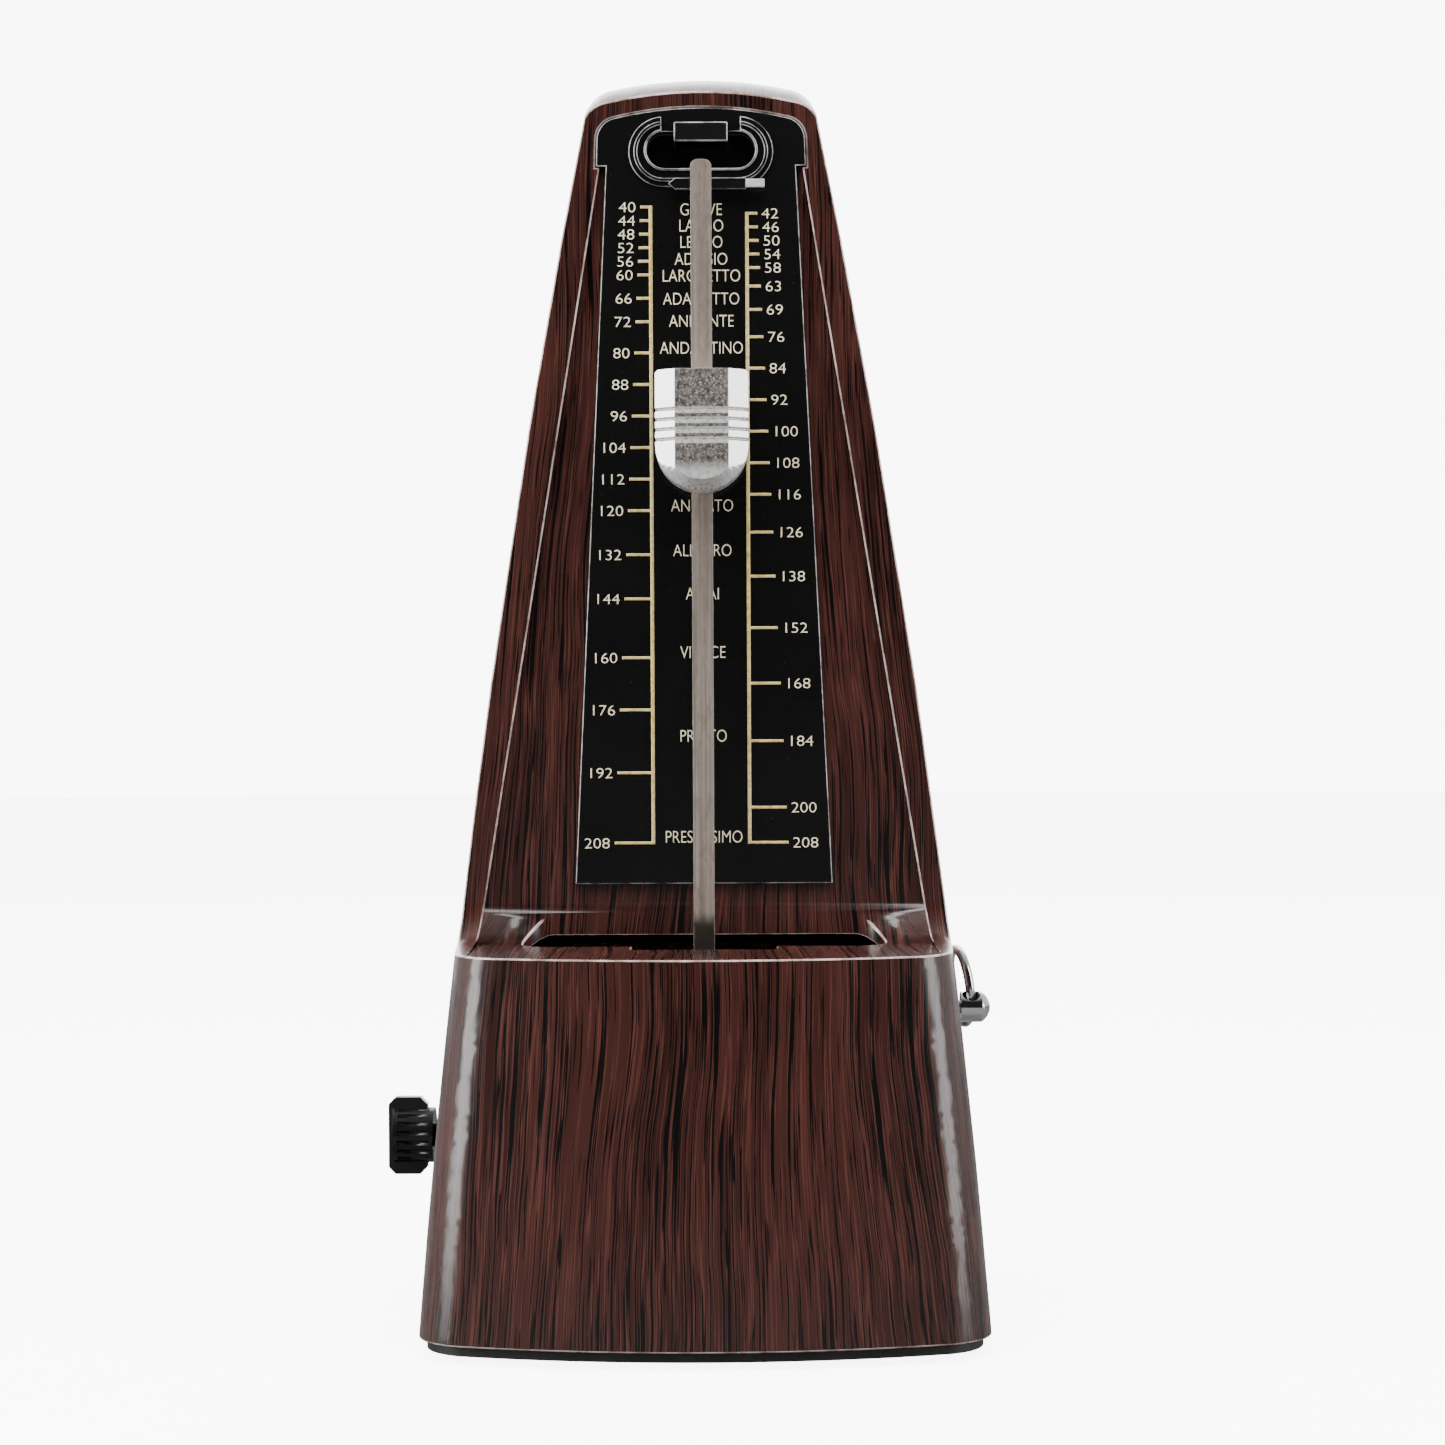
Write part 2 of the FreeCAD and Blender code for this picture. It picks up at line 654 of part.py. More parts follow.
def base_plate():
    low, high = BASE_Z
    plate = base_outline(BASE_INSET, low, CASE_BOTTOM)
    plate = plate.fuse(base_outline(WALL + 0.25, CASE_BOTTOM, high)).removeSplitter()
    for sx in (-1, 1):
        for sy in (-1, 1):
            foot = (sx * FOOT_AT[0], sy * FOOT_AT[1])
            plate = plate.cut(rod_z(FOOT_RADIUS + 0.05, low - 1, FOOT_TOP, foot))
            boss = (sx * BOSS_AT[0], sy * BOSS_AT[1])
            plate = plate.cut(rod_z(1.3, low - 1, high + 1, boss))
            plate = plate.cut(rod_z(BASE_SCREW_HEAD + 0.2, low - 1, low + BASE_SCREW_SINK, boss))
    for i in range(VENT_COUNT):
        x = (i - (VENT_COUNT - 1) / 2) * VENT_PITCH
        plate = plate.cut(
            box(x - VENT_WIDTH / 2, x + VENT_WIDTH / 2, *VENT_Y, low - 1, high + 1)
        )
    for x, y in bracket_spots():
        plate = plate.cut(rod_z(SCREW_HOLE, low + 1, high + 1, (x, y)))
    return plate


def rubber_feet():
    spots = [(sx * FOOT_AT[0], sy * FOOT_AT[1]) for sx in (-1, 1) for sy in (-1, 1)]
    return group([rod_z(FOOT_RADIUS, 0, FOOT_TOP, spot) for spot in spots])


def base_screws():
    shapes = []
    for sx in (-1, 1):
        for sy in (-1, 1):
            tip_z = BASE_Z[0] + BASE_SCREW_SINK + BASE_SCREW_LENGTH
            shapes.append(
                screw(
                    Vector(sx * BOSS_AT[0], sy * BOSS_AT[1], tip_z),
                    Vector(0, 0, -1),
                    BASE_SCREW_HEAD,
                    BASE_SCREW_HEAD_HEIGHT,
                    SCREW_HOLE - FIT_GAP,
                    BASE_SCREW_LENGTH,
                )
            )
    return group(shapes)


# ---- scale plate ----------------------------------------------------------------------------
def scale_plate():
    """The tempo plate, with a raised rim round an oval pocket at its head."""
    back = PANEL_Y
    front = PLATE_FRONT_Y
    plate = scale_outline(0, front, back)
    cup = stadium_y(OVAL_HALF_LENGTH + 0.6, OVAL_HALF_HEIGHT + 0.6, OVAL_Z, back, front + 4.0)
    outer = stadium_y(RIM_HALF_LENGTH, RIM_HALF_HEIGHT, OVAL_Z - 0.3, front - RIM_PROUD, front)
    step = stadium_y(
        RIM_HALF_LENGTH + 0.9, RIM_HALF_HEIGHT + 0.9, OVAL_Z - 0.3, front - RIM_PROUD / 2, front
    )
    gate = box(-7.0, 7.0, front - 2, front, OVAL_Z + 1.0, OVAL_Z + 12)
    rim = union([outer, step]).cut(gate)
    pocket = stadium_y(
        OVAL_HALF_LENGTH, OVAL_HALF_HEIGHT, OVAL_Z, front - 2, front + OVAL_DEPTH
    )
    groove_out = stadium_y(
        RIM_HALF_LENGTH - 0.7, RIM_HALF_HEIGHT - 0.7, OVAL_Z - 0.3, front - 2, front - 0.35
    )
    plate = union([plate, cup, rim]).cut(pocket)
    land = stadium_y(
        OVAL_HALF_LENGTH + 0.45, OVAL_HALF_HEIGHT + 0.45, OVAL_Z, front - 2, front - 0.35
    )
    plate = plate.cut(groove_out.cut(land))
    return plate.cut(box(-3.2, 3.2, front - 1, back + 8, OVAL_Z + 3.5, OVAL_Z + 4.7))


def cover_catch():
    """A spring tab that holds the removable front cover."""
    low, high = CATCH_Z
    front = PLATE_FRONT_Y
    tab = box(-CATCH_HALF, CATCH_HALF, front - 1.1, front - 0.05, low, high)
    tongue = box(-3.15, 3.15, front - 0.1, PANEL_Y - 0.05, OVAL_Z + 3.55, OVAL_Z + 4.65)
    return union([tab, tongue])


def rod_clip():
    """A bar that stands off the plate; the parked rod is held behind its free right end."""
    low, high = CLIP_Z
    back, front = CLIP_Y[1], CLIP_Y[0]
    middle = (low + high) / 2
    left = CLIP_X[0]
    points = [(left, middle), (left + 1.2, low), (CLIP_X[1], low), (CLIP_X[1], high)]
    bar = prism_y(points + [(left + 1.2, high)], front, back)
    post = box(left + 1.2, left + 4.2, back, PLATE_FRONT_Y, low + 0.1, high - 0.1)
    return union([bar, post.cut(scale_plate())])


def rod_clip_tip():
    low, high = CLIP_Z
    return box(CLIP_X[1], CLIP_TIP_X, CLIP_Y[0], CLIP_Y[1], low + 0.35, high - 0.2)


# ---- bushes, key and selector ---------------------------------------------------------------
def key_bush():
    sleeve = rod_x(KEY_SLEEVE_RADIUS, -side_point(BARREL_AXIS[1]), KEY_SLEEVE_END, BARREL_AXIS)
    bush = union([key_bush_flange(), sleeve])
    return bush.cut(rod_x(KEY_STEM_RADIUS + 0.2, -60, -40, BARREL_AXIS))


def selector_bush():
    sleeve = rod_x(
        SELECTOR_SLEEVE_RADIUS, SELECTOR_SLEEVE_END, side_point(SELECTOR_AXIS[1]), SELECTOR_AXIS
    )
    bush = union([selector_bush_flange(), sleeve])
    return bush.cut(rod_x(SELECTOR_RADIUS + RUNNING, 40, 60, SELECTOR_AXIS))


def winding_key():
    """A ribbed hub on a flat wing, with a short stem."""
    y, z = BARREL_AXIS
    x0, x1 = KEY_WING_X
    half = KEY_WING_HALF
    cut = 1.3
    outline = [
        (x0 + cut, z - half),
        (x1 - cut, z - half),
        (x1, z - half + cut),
        (x1, z + half - cut),
        (x1 - cut, z + half),
        (x0 + cut, z + half),
        (x0, z + half - cut),
        (x0, z - half + cut),
    ]
    wing = prism_y(outline, y - KEY_WING_THICK / 2, y + KEY_WING_THICK / 2)
    hub = rod_x(KEY_HUB_RADIUS, *KEY_HUB_X, BARREL_AXIS)
    rib_count = 18
    for i in range(rib_count):
        spot = polar(0, BARREL_AXIS, KEY_HUB_RADIUS + 0.25, 2 * math.pi * (i + 0.5) / rib_count)
        hub = hub.cut(rod_x(0.55, KEY_HUB_X[0] + 0.8, KEY_HUB_X[1] - 0.8, (spot.y, spot.z)))
    stem = rod_x(KEY_STEM_RADIUS, KEY_HUB_X[1], KEY_STEM_END, BARREL_AXIS)
    key = union([wing, hub, stem])
    return key.cut(rod_x(WIND_PIVOT, WIND_ARBOR_END, -40, BARREL_AXIS))


def selector_rod():
    """The beat selector: a sliding rod with detent grooves and two collars for the hammer."""
    x0, x1 = SELECTOR_X
    rod = rod_x(SELECTOR_RADIUS, x0, x1, SELECTOR_AXIS)
    rod = union(
        [
            rod,
            rod_x(COLLAR_RADIUS, 17.0, 18.1, SELECTOR_AXIS),
            rod_x(COLLAR_RADIUS, HAMMER_X[1] + 0.1, HAMMER_X[1] + 1.2, SELECTOR_AXIS),
        ]
    )
    for i in range(DETENT_COUNT):
        x = DETENT_X - i * DETENT_PITCH
        ring = rod_x(SELECTOR_RADIUS + 1, x - 0.3, x + 0.3, SELECTOR_AXIS)
        rod = rod.cut(ring.cut(rod_x(SELECTOR_RADIUS - 0.3, x - 1, x + 1, SELECTOR_AXIS)))
    return rod


def ring_axis():
    return Vector(0, -math.sin(RING_TILT), math.cos(RING_TILT))


def ring_hole():
    return Vector(RING_HOLE_X, SELECTOR_AXIS[0], SELECTOR_AXIS[1])


def selector_knob():
    """A domed pull stud with a bell-mouthed cross hole for the ring."""
    x0, x1 = STUD_X
    stud = rod_x(STUD_RADIUS, x0, x1 - 1.6, SELECTOR_AXIS)
    dome = Part.makeSphere(
        STUD_RADIUS * 1.15, Vector(x1 - STUD_RADIUS * 1.15, SELECTOR_AXIS[0], SELECTOR_AXIS[1])
    )
    dome = dome.common(rod_x(STUD_RADIUS, x1 - 3.2, x1, SELECTOR_AXIS))
    stud = union([stud, dome]).cut(rod_x(SELECTOR_RADIUS, x0 - 1, SELECTOR_X[1], SELECTOR_AXIS))
    axis = ring_axis()
    middle = ring_hole()
    for sign in (-1, 1):
        mouth = Part.makeCone(1.1, 1.8, 3.5, middle - axis * sign * 0.001, axis * sign)
        stud = stud.cut(mouth)
    return stud


def ring_centre():
    back = Vector(0, math.cos(RING_TILT), math.sin(RING_TILT))
    out = back * math.cos(RING_LEAN) - Vector(1, 0, 0) * math.sin(RING_LEAN)
    return ring_hole() + out * RING_RADIUS, out


def pull_ring():
    """A wire ring, split opposite the stud."""
    centre, out = ring_centre()
    axis = ring_axis()
    normal = axis.cross(out)
    ring = Part.makeTorus(RING_RADIUS, RING_WIRE, centre, normal)
    gap = Part.makeBox(0.3, 4, 4, Vector(-0.15, -2, -2))
    turned = out * math.cos(math.radians(130)) + axis * math.sin(math.radians(130))
    split = centre - turned * RING_RADIUS
    along_wire = normal.cross(turned)
    gap.Placement = FreeCAD.Placement(split, FreeCAD.Rotation(Vector(1, 0, 0), along_wire))
    return ring.cut(gap)


# ---- movement -------------------------------------------------------------------------------
def bracket_spots():
    return [(x, y) for x in BRACKET_X for y in BRACKET_SCREW_Y]


def side_plate(x0, holes):
    """A movement plate: holes is a list of (place, radius)."""
    x1 = x0 + PLATE_SHEET
    plate = box(x0, x1, *SIDE_PLATE_Y, *SIDE_PLATE_Z)
    for place, radius in holes:
        plate = plate.cut(rod_x(radius, x0 - 1, x1 + 1, place))
    return plate


def shared_holes():
    holes = [(place, SCREW_HOLE) for place in PILLARS]
    holes += [((y, BRACKET_SCREW_Z), SCREW_HOLE) for y in BRACKET_SCREW_Y]
    holes += [(REAR_BRIDGE_SCREW, SCREW_HOLE)]
    holes += [(BARREL_AXIS, WIND_PIVOT + RUNNING), (SECOND_AXIS, PIVOT + RUNNING)]
    return holes


def left_plate():
    holes = shared_holes() + [(ESCAPE_AXIS, PIVOT + RUNNING), (CLICK_PIVOT, 0.85)]
    return side_plate(LEFT_PLATE_X, holes)


def right_plate():
    holes = shared_holes()
    holes += [(ESCAPE_AXIS, PIVOT + RUNNING), (SELECTOR_AXIS, SELECTOR_RADIUS + RUNNING)]
    holes += [(BELL_AXIS, BELL_STUD + FIT_GAP)]
    return side_plate(RIGHT_PLATE_X, holes)


def plate_pillars():
    inside = LEFT_PLATE_X + PLATE_SHEET
    pillars = []
    for place in PILLARS:
        pillar = rod_x(PILLAR_RADIUS, inside, RIGHT_PLATE_X, place)
        for x in (inside, RIGHT_PLATE_X):
            pillar = pillar.cut(rod_x(SCREW_HOLE, x - 5, x + 5, place))
        pillars.append(pillar)
    return group(pillars)


def outer_face(side):
    """The x of a side plate's outer face: side is -1 for the left and 1 for the right."""
    return LEFT_PLATE_X if side < 0 else RIGHT_PLATE_X + PLATE_SHEET


def cross_screw(side, place, cover, reach):
    """A screw along X into a side plate, through cover millimetres of sheet outside it."""
    face = outer_face(side)
    tip = Vector(face - side * reach, place[0], place[1])
    return small_screw(tip, Vector(side, 0, 0), reach + cover)


def pillar_screws():
    places = PILLARS[:3]
    return group([cross_screw(side, place, 0.0, 5.0) for side in (-1, 1) for place in places])


def bracket(side):
    """An angle that stands the movement on the base plate."""
    face = outer_face(side)
    leg = box(*sorted((face, face + side * PLATE_SHEET)), 4, 26, BASE_Z[1], 18)
    foot = box(*sorted((face, face + side * 9.5)), 4, 26, BASE_Z[1], BASE_Z[1] + PLATE_SHEET)
    angle = union([leg, foot])
    for y in BRACKET_SCREW_Y:
        angle = angle.cut(rod_x(SCREW_HOLE, face - 5, face + 5, (y, BRACKET_SCREW_Z)))
    for spot in bracket_spots():
        angle = angle.cut(rod_z(SCREW_HOLE, 0, 10, spot))
    return angle


def mounting_brackets():
    return group([bracket(-1), bracket(1)])


def bracket_screws():
    screws = []
    for side in (-1, 1):
        for y in BRACKET_SCREW_Y:
            screws.append(cross_screw(side, (y, BRACKET_SCREW_Z), PLATE_SHEET, 2.0))
    for x, y in bracket_spots():
        tip = Vector(x, y, BASE_Z[0] + 1.3)
        length = BASE_Z[1] + PLATE_SHEET - tip.z
        screws.append(small_screw(tip, Vector(0, 0, 1), length))
    return group(screws)


def bridge(web_y, web_z, tab_y, tab_z, screw_at):
    """A strap across the side plates that carries one end of the pendulum arbor."""
    x0 = outer_face(-1) - PLATE_SHEET
    x1 = outer_face(1) + PLATE_SHEET
    web = box(x0, x1, *web_y, *web_z)
    shapes = [web]
    for side in (-1, 1):
        face = outer_face(side)
        x = sorted((face, face + side * PLATE_SHEET))
        shapes.append(box(*x, *tab_y, *tab_z))
    strap = union(shapes)
    strap = strap.cut(rod_y(ARBOR + RUNNING, web_y[0] - 1, web_y[1] + 1, (0, PIVOT_Z)))
    return strap.cut(rod_x(SCREW_HOLE, x0 - 1, x1 + 1, screw_at))


def front_bridge():
    strap = bridge(FRONT_BRIDGE_Y, (41, 65.4), (FRONT_BRIDGE_Y[0], 2), (41, 47), PILLARS[3])
    window = box(-18, 9, FRONT_BRIDGE_Y[0] - 1, FRONT_BRIDGE_Y[1] + 1, 45, 56)
    return strap.cut(window)


def rear_bridge():
    return bridge(REAR_BRIDGE_Y, (60.2, 65.4), (REAR_BRIDGE_Y[0], 29), (53, 65.4), REAR_BRIDGE_SCREW)


def bridge_screws():
    screws = []
    for side in (-1, 1):
        screws.append(cross_screw(side, PILLARS[3], PLATE_SHEET, 5.0))
        screws.append(cross_screw(side, REAR_BRIDGE_SCREW, PLATE_SHEET, 2.0))
    return group(screws)


def winding_arbor():
    left = LEFT_PLATE_X - 0.05
    shoulder = LEFT_PLATE_X + PLATE_SHEET + 0.1
    right = RIGHT_PLATE_X - 0.1
    return union(
        [
            rod_x(WIND_PIVOT, WIND_ARBOR_END, shoulder, BARREL_AXIS),
            rod_x(WIND_ARBOR, shoulder, right, BARREL_AXIS),
            rod_x(WIND_ARBOR_CORE, *SPRING_CORE_X, BARREL_AXIS),
            rod_x(WIND_PIVOT, right, RIGHT_PLATE_X + PLATE_SHEET + 0.4, BARREL_AXIS),
            rod_x(2.4, RATCHET_X[1], left - 0.3, BARREL_AXIS),
        ]
    )


def ratchet_wheel():
    wheel = saw_wheel(RATCHET_TEETH, RATCHET_RADIUS, RATCHET_RADIUS - 1.3, *RATCHET_X, BARREL_AXIS)
    return wheel.cut(rod_x(WIND_PIVOT, -40, -20, BARREL_AXIS))


def click():
    """A pawl that lies just clear of the ratchet's tips."""
    x0, x1 = RATCHET_X
    tip = (13.3, 38.95)
    beak = prism_x([(10.6, 38.7), (13.8, 38.5), (12.5, 37.65)], x0, x1)
    lever = bar_x(CLICK_PIVOT, tip, 0.8, x0, x1)
    boss = rod_x(1.8, x0, x1, CLICK_PIVOT)
    return union([lever, boss, beak]).cut(rod_x(1.06, x0 - 1, x1 + 1, CLICK_PIVOT))


def click_screw():
    """A shoulder screw that the click turns on."""
    y, z = CLICK_PIVOT
    x0, x1 = RATCHET_X
    stub = rod_x(0.8, LEFT_PLATE_X, LEFT_PLATE_X + PLATE_SHEET, CLICK_PIVOT)
    spacer = rod_x(1.6, x1 + 0.1, LEFT_PLATE_X, CLICK_PIVOT)
    shoulder = rod_x(1.0, x0 - 2.2, x1 + 0.1, CLICK_PIVOT)
    head = rod_x(2.0, x0 - 3.2, x0 - 2.2, CLICK_PIVOT)
    slot = box(x0 - 3.3, x0 - 2.7, y - 3, y + 3, z - 0.3, z + 0.3)
    return union([stub, spacer, shoulder, head]).cut(slot)


def click_spring():
    start = Vector(RATCHET_X[0] - 1.85, *CLICK_PIVOT)
    return coil(1.45, 0.22, 3, 0.55, start, Vector(1, 0, 0))


def great_wheel():
    wheel = spur_gear(
        GREAT_TEETH, DRIVE_MODULE, *GREAT_X, BARREL_AXIS, SECOND_ANGLE, addendum=0.8
    )
    wheel = lighten(wheel, 5, 9.5, 3.2, *GREAT_X, BARREL_AXIS)
    return wheel.cut(rod_x(WIND_ARBOR + RUNNING, -25, -10, BARREL_AXIS))


def barrel():
    x0, x1 = BARREL_X
    drum = rod_x(BARREL_RADIUS, x0, x1, BARREL_AXIS)
    drum = drum.cut(rod_x(BARREL_RADIUS - BARREL_SKIN, x0 + BARREL_SKIN, x1 + 1, BARREL_AXIS))
    return drum.cut(rod_x(WIND_ARBOR + RUNNING, x0 - 1, x1 + 1, BARREL_AXIS))


def barrel_cover():
    x1 = BARREL_X[1]
    cover = rod_x(BARREL_RADIUS - BARREL_SKIN, x1 - BARREL_SKIN, x1, BARREL_AXIS)
    return cover.cut(rod_x(WIND_ARBOR + RUNNING, x1 - 2, x1 + 1, BARREL_AXIS))


def mainspring():
    """A wound strip: half turns of growing radius, drawn about two centres."""
    strip = 0.45
    pitch = 1.5
    inner = 3.6
    turns = 11
    x0 = -15.6
    outside = []
    inside = []
    y, z = BARREL_AXIS
    for i in range(turns):
        side = 1 if i % 2 == 0 else -1
        centre = z - (0 if i % 2 == 0 else pitch / 2)
        for edges, grow in ((outside, strip), (inside, 0.0)):
            radius = inner + grow + i * pitch / 2
            start = Vector(x0, y, centre - side * radius)
            middle = Vector(x0, y + side * radius, centre)
            edges.append(arc(start, middle, Vector(x0, y, centre + side * radius)))
    caps = []
    for index, vertex in ((0, 0), (-1, -1)):
        a = outside[index].Vertexes[vertex].Point
        b = inside[index].Vertexes[vertex].Point
        caps.append(line(a, b))
    wire = Part.Wire(Part.__sortEdges__(outside + inside + caps))
    return Part.Face(wire).extrude(Vector(10.6, 0, 0))


def second_pinion():
    """The second arbor, with the pinion that the great wheel drives."""
    inside = LEFT_PLATE_X + PLATE_SHEET + 0.1
    right = RIGHT_PLATE_X - 0.1
    phase = SECOND_ANGLE + math.pi + math.pi / SECOND_PINION_TEETH
    leaves = spur_gear(
        SECOND_PINION_TEETH, DRIVE_MODULE, GREAT_X[0] - 0.8, GREAT_X[1] + 0.8, SECOND_AXIS, phase
    )
    return union(
        [
            leaves,
            rod_x(ARBOR, inside, right, SECOND_AXIS),
            rod_x(PIVOT, LEFT_PLATE_X - 0.3, RIGHT_PLATE_X + PLATE_SHEET + 0.3, SECOND_AXIS),
            rod_x(2.4, SECOND_WHEEL_X[1], SECOND_WHEEL_X[1] + 1.2, SECOND_AXIS),
        ]
    )


def second_wheel():
    wheel = spur_gear(
        SECOND_TEETH, TRAIN_MODULE, *SECOND_WHEEL_X, SECOND_AXIS, ESCAPE_ANGLE, addendum=0.75
    )
    wheel = lighten(wheel, 5, 6.6, 2.4, *SECOND_WHEEL_X, SECOND_AXIS)
    return wheel.cut(rod_x(ARBOR, 0, 20, SECOND_AXIS))


def escape_pinion():
    """The escape arbor, with its pinion; its right end carries the beat cams."""
    inside = LEFT_PLATE_X + PLATE_SHEET + 0.1
    phase = ESCAPE_ANGLE + math.pi + math.pi / ESCAPE_PINION_TEETH
    leaves = spur_gear(
        ESCAPE_PINION_TEETH,
        TRAIN_MODULE,
        SECOND_WHEEL_X[0] - 0.9,
        SECOND_WHEEL_X[1] + 0.9,
        ESCAPE_AXIS,
        phase,
    )
    cams_end = CAM_X + CAM_THICK * len(CAM_LOBES)
    return union(
        [
            leaves,
            rod_x(ARBOR, inside, RIGHT_PLATE_X - 0.1, ESCAPE_AXIS),
            rod_x(PIVOT, LEFT_PLATE_X - 0.3, cams_end + 0.4, ESCAPE_AXIS),
            rod_x(2.0, ESCAPE_WHEEL_X[1], ESCAPE_WHEEL_X[1] + 1.2, ESCAPE_AXIS),
        ]
    )


def escape_wheel():
    wheel = saw_wheel(
        ESCAPE_TEETH, ESCAPE_RADIUS, ESCAPE_RADIUS - 1.9, *ESCAPE_WHEEL_X, ESCAPE_AXIS
    )
    wheel = lighten(wheel, 4, 4.4, 1.5, *ESCAPE_WHEEL_X, ESCAPE_AXIS)
    return wheel.cut(rod_x(ARBOR, -5, 5, ESCAPE_AXIS))


def beat_cams():
    """A stack of lobed discs that lift the hammer every 2, 3, 4 or 6 beats."""
    discs = [rod_x(2.0, CAM_X - 1.0, CAM_X, ESCAPE_AXIS)]
    for i, lobes in enumerate(CAM_LOBES):
        x = CAM_X + i * CAM_THICK
        discs.append(
            saw_wheel(lobes, CAM_RADIUS, CAM_RADIUS - 1.2, x, x + CAM_THICK - 0.8, ESCAPE_AXIS)
        )
        discs.append(rod_x(3.2, x + CAM_THICK - 0.8, x + CAM_THICK, ESCAPE_AXIS))
    return union(discs).cut(rod_x(PIVOT, CAM_X - 2, CAM_X + 20, ESCAPE_AXIS))


# ---- bell and hammer ------------------------------------------------------------------------
def bell():
    """A cup about X, open to the left, with a rounded closed end."""
    y, z = BELL_AXIS
    mouth, apex = BELL_X
    skin = 0.9
    bore = BELL_STUD + FIT_GAP

    def at(x, radius):
        return Vector(x, y, z + radius)

    shoulder = apex - 5.3
    edges = [
        line(at(mouth, BELL_RADIUS), at(shoulder, BELL_RADIUS - 0.6)),
        arc(at(shoulder, BELL_RADIUS - 0.6), at(apex - 1.5, 8.0), at(apex, bore)),
        line(at(apex, bore), at(apex - skin, bore)),
        arc(
            at(apex - skin, bore),
            at(apex - 1.5 - skin, 7.5),
            at(shoulder - 0.2, BELL_RADIUS - 0.6 - skin),
        ),
        line(at(shoulder - 0.2, BELL_RADIUS - 0.6 - skin), at(mouth, BELL_RADIUS - skin)),
        line(at(mouth, BELL_RADIUS - skin), at(mouth, BELL_RADIUS)),
    ]
    return Part.Face(Part.Wire(edges)).revolve(Vector(0, y, z), Vector(1, 0, 0), 360)


def bell_post():
    face = RIGHT_PLATE_X + PLATE_SHEET
    apex = BELL_X[1]
    post = union(
        [
            rod_x(BELL_STUD, RIGHT_PLATE_X, apex - 0.9, BELL_AXIS),
            rod_x(4.0, face, face + 1.5, BELL_AXIS),
            rod_x(2.6, face + 1.5, apex - 1.3, BELL_AXIS),
            rod_x(BELL_STUD, apex - 1.3, apex + 0.2, BELL_AXIS),
        ]
    )
    return post.cut(rod_x(0.9, apex - 4, apex + 1, BELL_AXIS))


def bell_screw():
    tip = Vector(BELL_X[1] - 3.5, *BELL_AXIS)
    return screw(tip, Vector(1, 0, 0), 2.6, 1.1, 0.85, 3.75)


def hammer_head_place():
    """The hammer head hangs beside the bell's rim, where its swing meets the rim square on."""
    dy = BELL_AXIS[0] - SELECTOR_AXIS[0]
    dz = BELL_AXIS[1] - SELECTOR_AXIS[1]
    reach = math.hypot(dy, dz)
    stand_off = BELL_RADIUS + HAMMER_GAP + HAMMER_HEAD
    arm = math.sqrt(reach**2 - stand_off**2)
    angle = math.atan2(dz, dy) - math.atan2(stand_off, arm)
    return along(SELECTOR_AXIS, arm, angle)


def hammer_arm():
    """The hammer's sleeve, its finger at the cams and its arm down to the head."""
    x0, x1 = HAMMER_X
    sleeve = rod_x(COLLAR_RADIUS + 0.2, 18.2, x1, SELECTOR_AXIS)
    finger_tip = along(SELECTOR_AXIS, 8.8, math.radians(-61.0))
    finger = bar_x(SELECTOR_AXIS, finger_tip, 0.6, 18.3, 19.1)
    arm = bar_x(SELECTOR_AXIS, hammer_head_place(), 0.8, x0, x1 - 0.2)
    whole = union([sleeve, finger, arm])
    whole = whole.cut(rod_x(SELECTOR_RADIUS + RUNNING, 15, 35, SELECTOR_AXIS))
    middle = (x0 + x1 - 0.2) / 2
    return whole.cut(Part.makeSphere(HAMMER_HEAD, Vector(middle, *hammer_head_place())))


def hammer_head():
    middle = (HAMMER_X[0] + HAMMER_X[1] - 0.2) / 2
    return Part.makeSphere(HAMMER_HEAD, Vector(middle, *hammer_head_place()))


def hammer_spring():
    start = Vector(HAMMER_X[1] + 1.5, *SELECTOR_AXIS)
    return coil(1.6, 0.25, 3, 0.75, start, Vector(1, 0, 0))


def detent_spring():
    """A leaf on the right plate whose nose stands over the selector rod's grooves."""
    y, z = SELECTOR_AXIS
    nose = z + SELECTOR_RADIUS + 0.15
    x1 = RIGHT_PLATE_X
    root = box(x1 - 0.5, x1, y - 1.5, y + 1.5, nose, nose + 2.8)
    leaf = box(DETENT_X - 0.7, x1 - 0.5, y - 1.5, y + 1.5, nose, nose + 0.35)
    return union([root, leaf])


# ---- pendulum -------------------------------------------------------------------------------
def pendulum_arbor():
    """The shaft the pendulum swings on, with a rivet head in front of the rod."""
    at = (0, PIVOT_Z)
    return union(
        [
            rod_y(RIVET_RADIUS, ROD_Y[0] - 0.9, ROD_Y[0], at),
            rod_y(ARBOR, ROD_Y[0], PENDULUM_ARBOR_BACK_Y, at),
            rod_y(2.4, REAR_BRIDGE_Y[0] - 1.5, REAR_BRIDGE_Y[0] - 0.1, at),
        ]
    )


def pendulum_rod():
    """A flat steel strip from above the scale to below the bob, with rounded top corners."""
    half = ROD_WIDTH / 2
    r = ROD_TIP_CORNER
    y0, y1 = ROD_Y
    strip = box(-half, half, y0, y1, ROD_BOTTOM_Z, ROD_TOP_Z - r)
    head = box(-half + r, half - r, y0, y1, ROD_TOP_Z - r, ROD_TOP_Z)
    corners = [rod_y(r, y0, y1, (side * (half - r), ROD_TOP_Z - r)) for side in (-1, 1)]
    rod = union([strip, head] + corners)
    return rod.cut(rod_y(ARBOR, y0 - 1, y1 + 1, (0, PIVOT_Z)))


def rod_collar():
    """Backs the rod on its arbor; its neck leaves room for the weight at its lowest."""
    at = (0, PIVOT_Z)
    neck = rod_y(RIVET_RADIUS, ROD_Y[1], WEIGHT_Y[1] + 0.5, at)
    flange = rod_y(3.1, WEIGHT_Y[1] + 0.5, FRONT_BRIDGE_Y[0] - 4.0, at)
    return neck.fuse(flange).cut(rod_y(ARBOR, -20, 0, at))


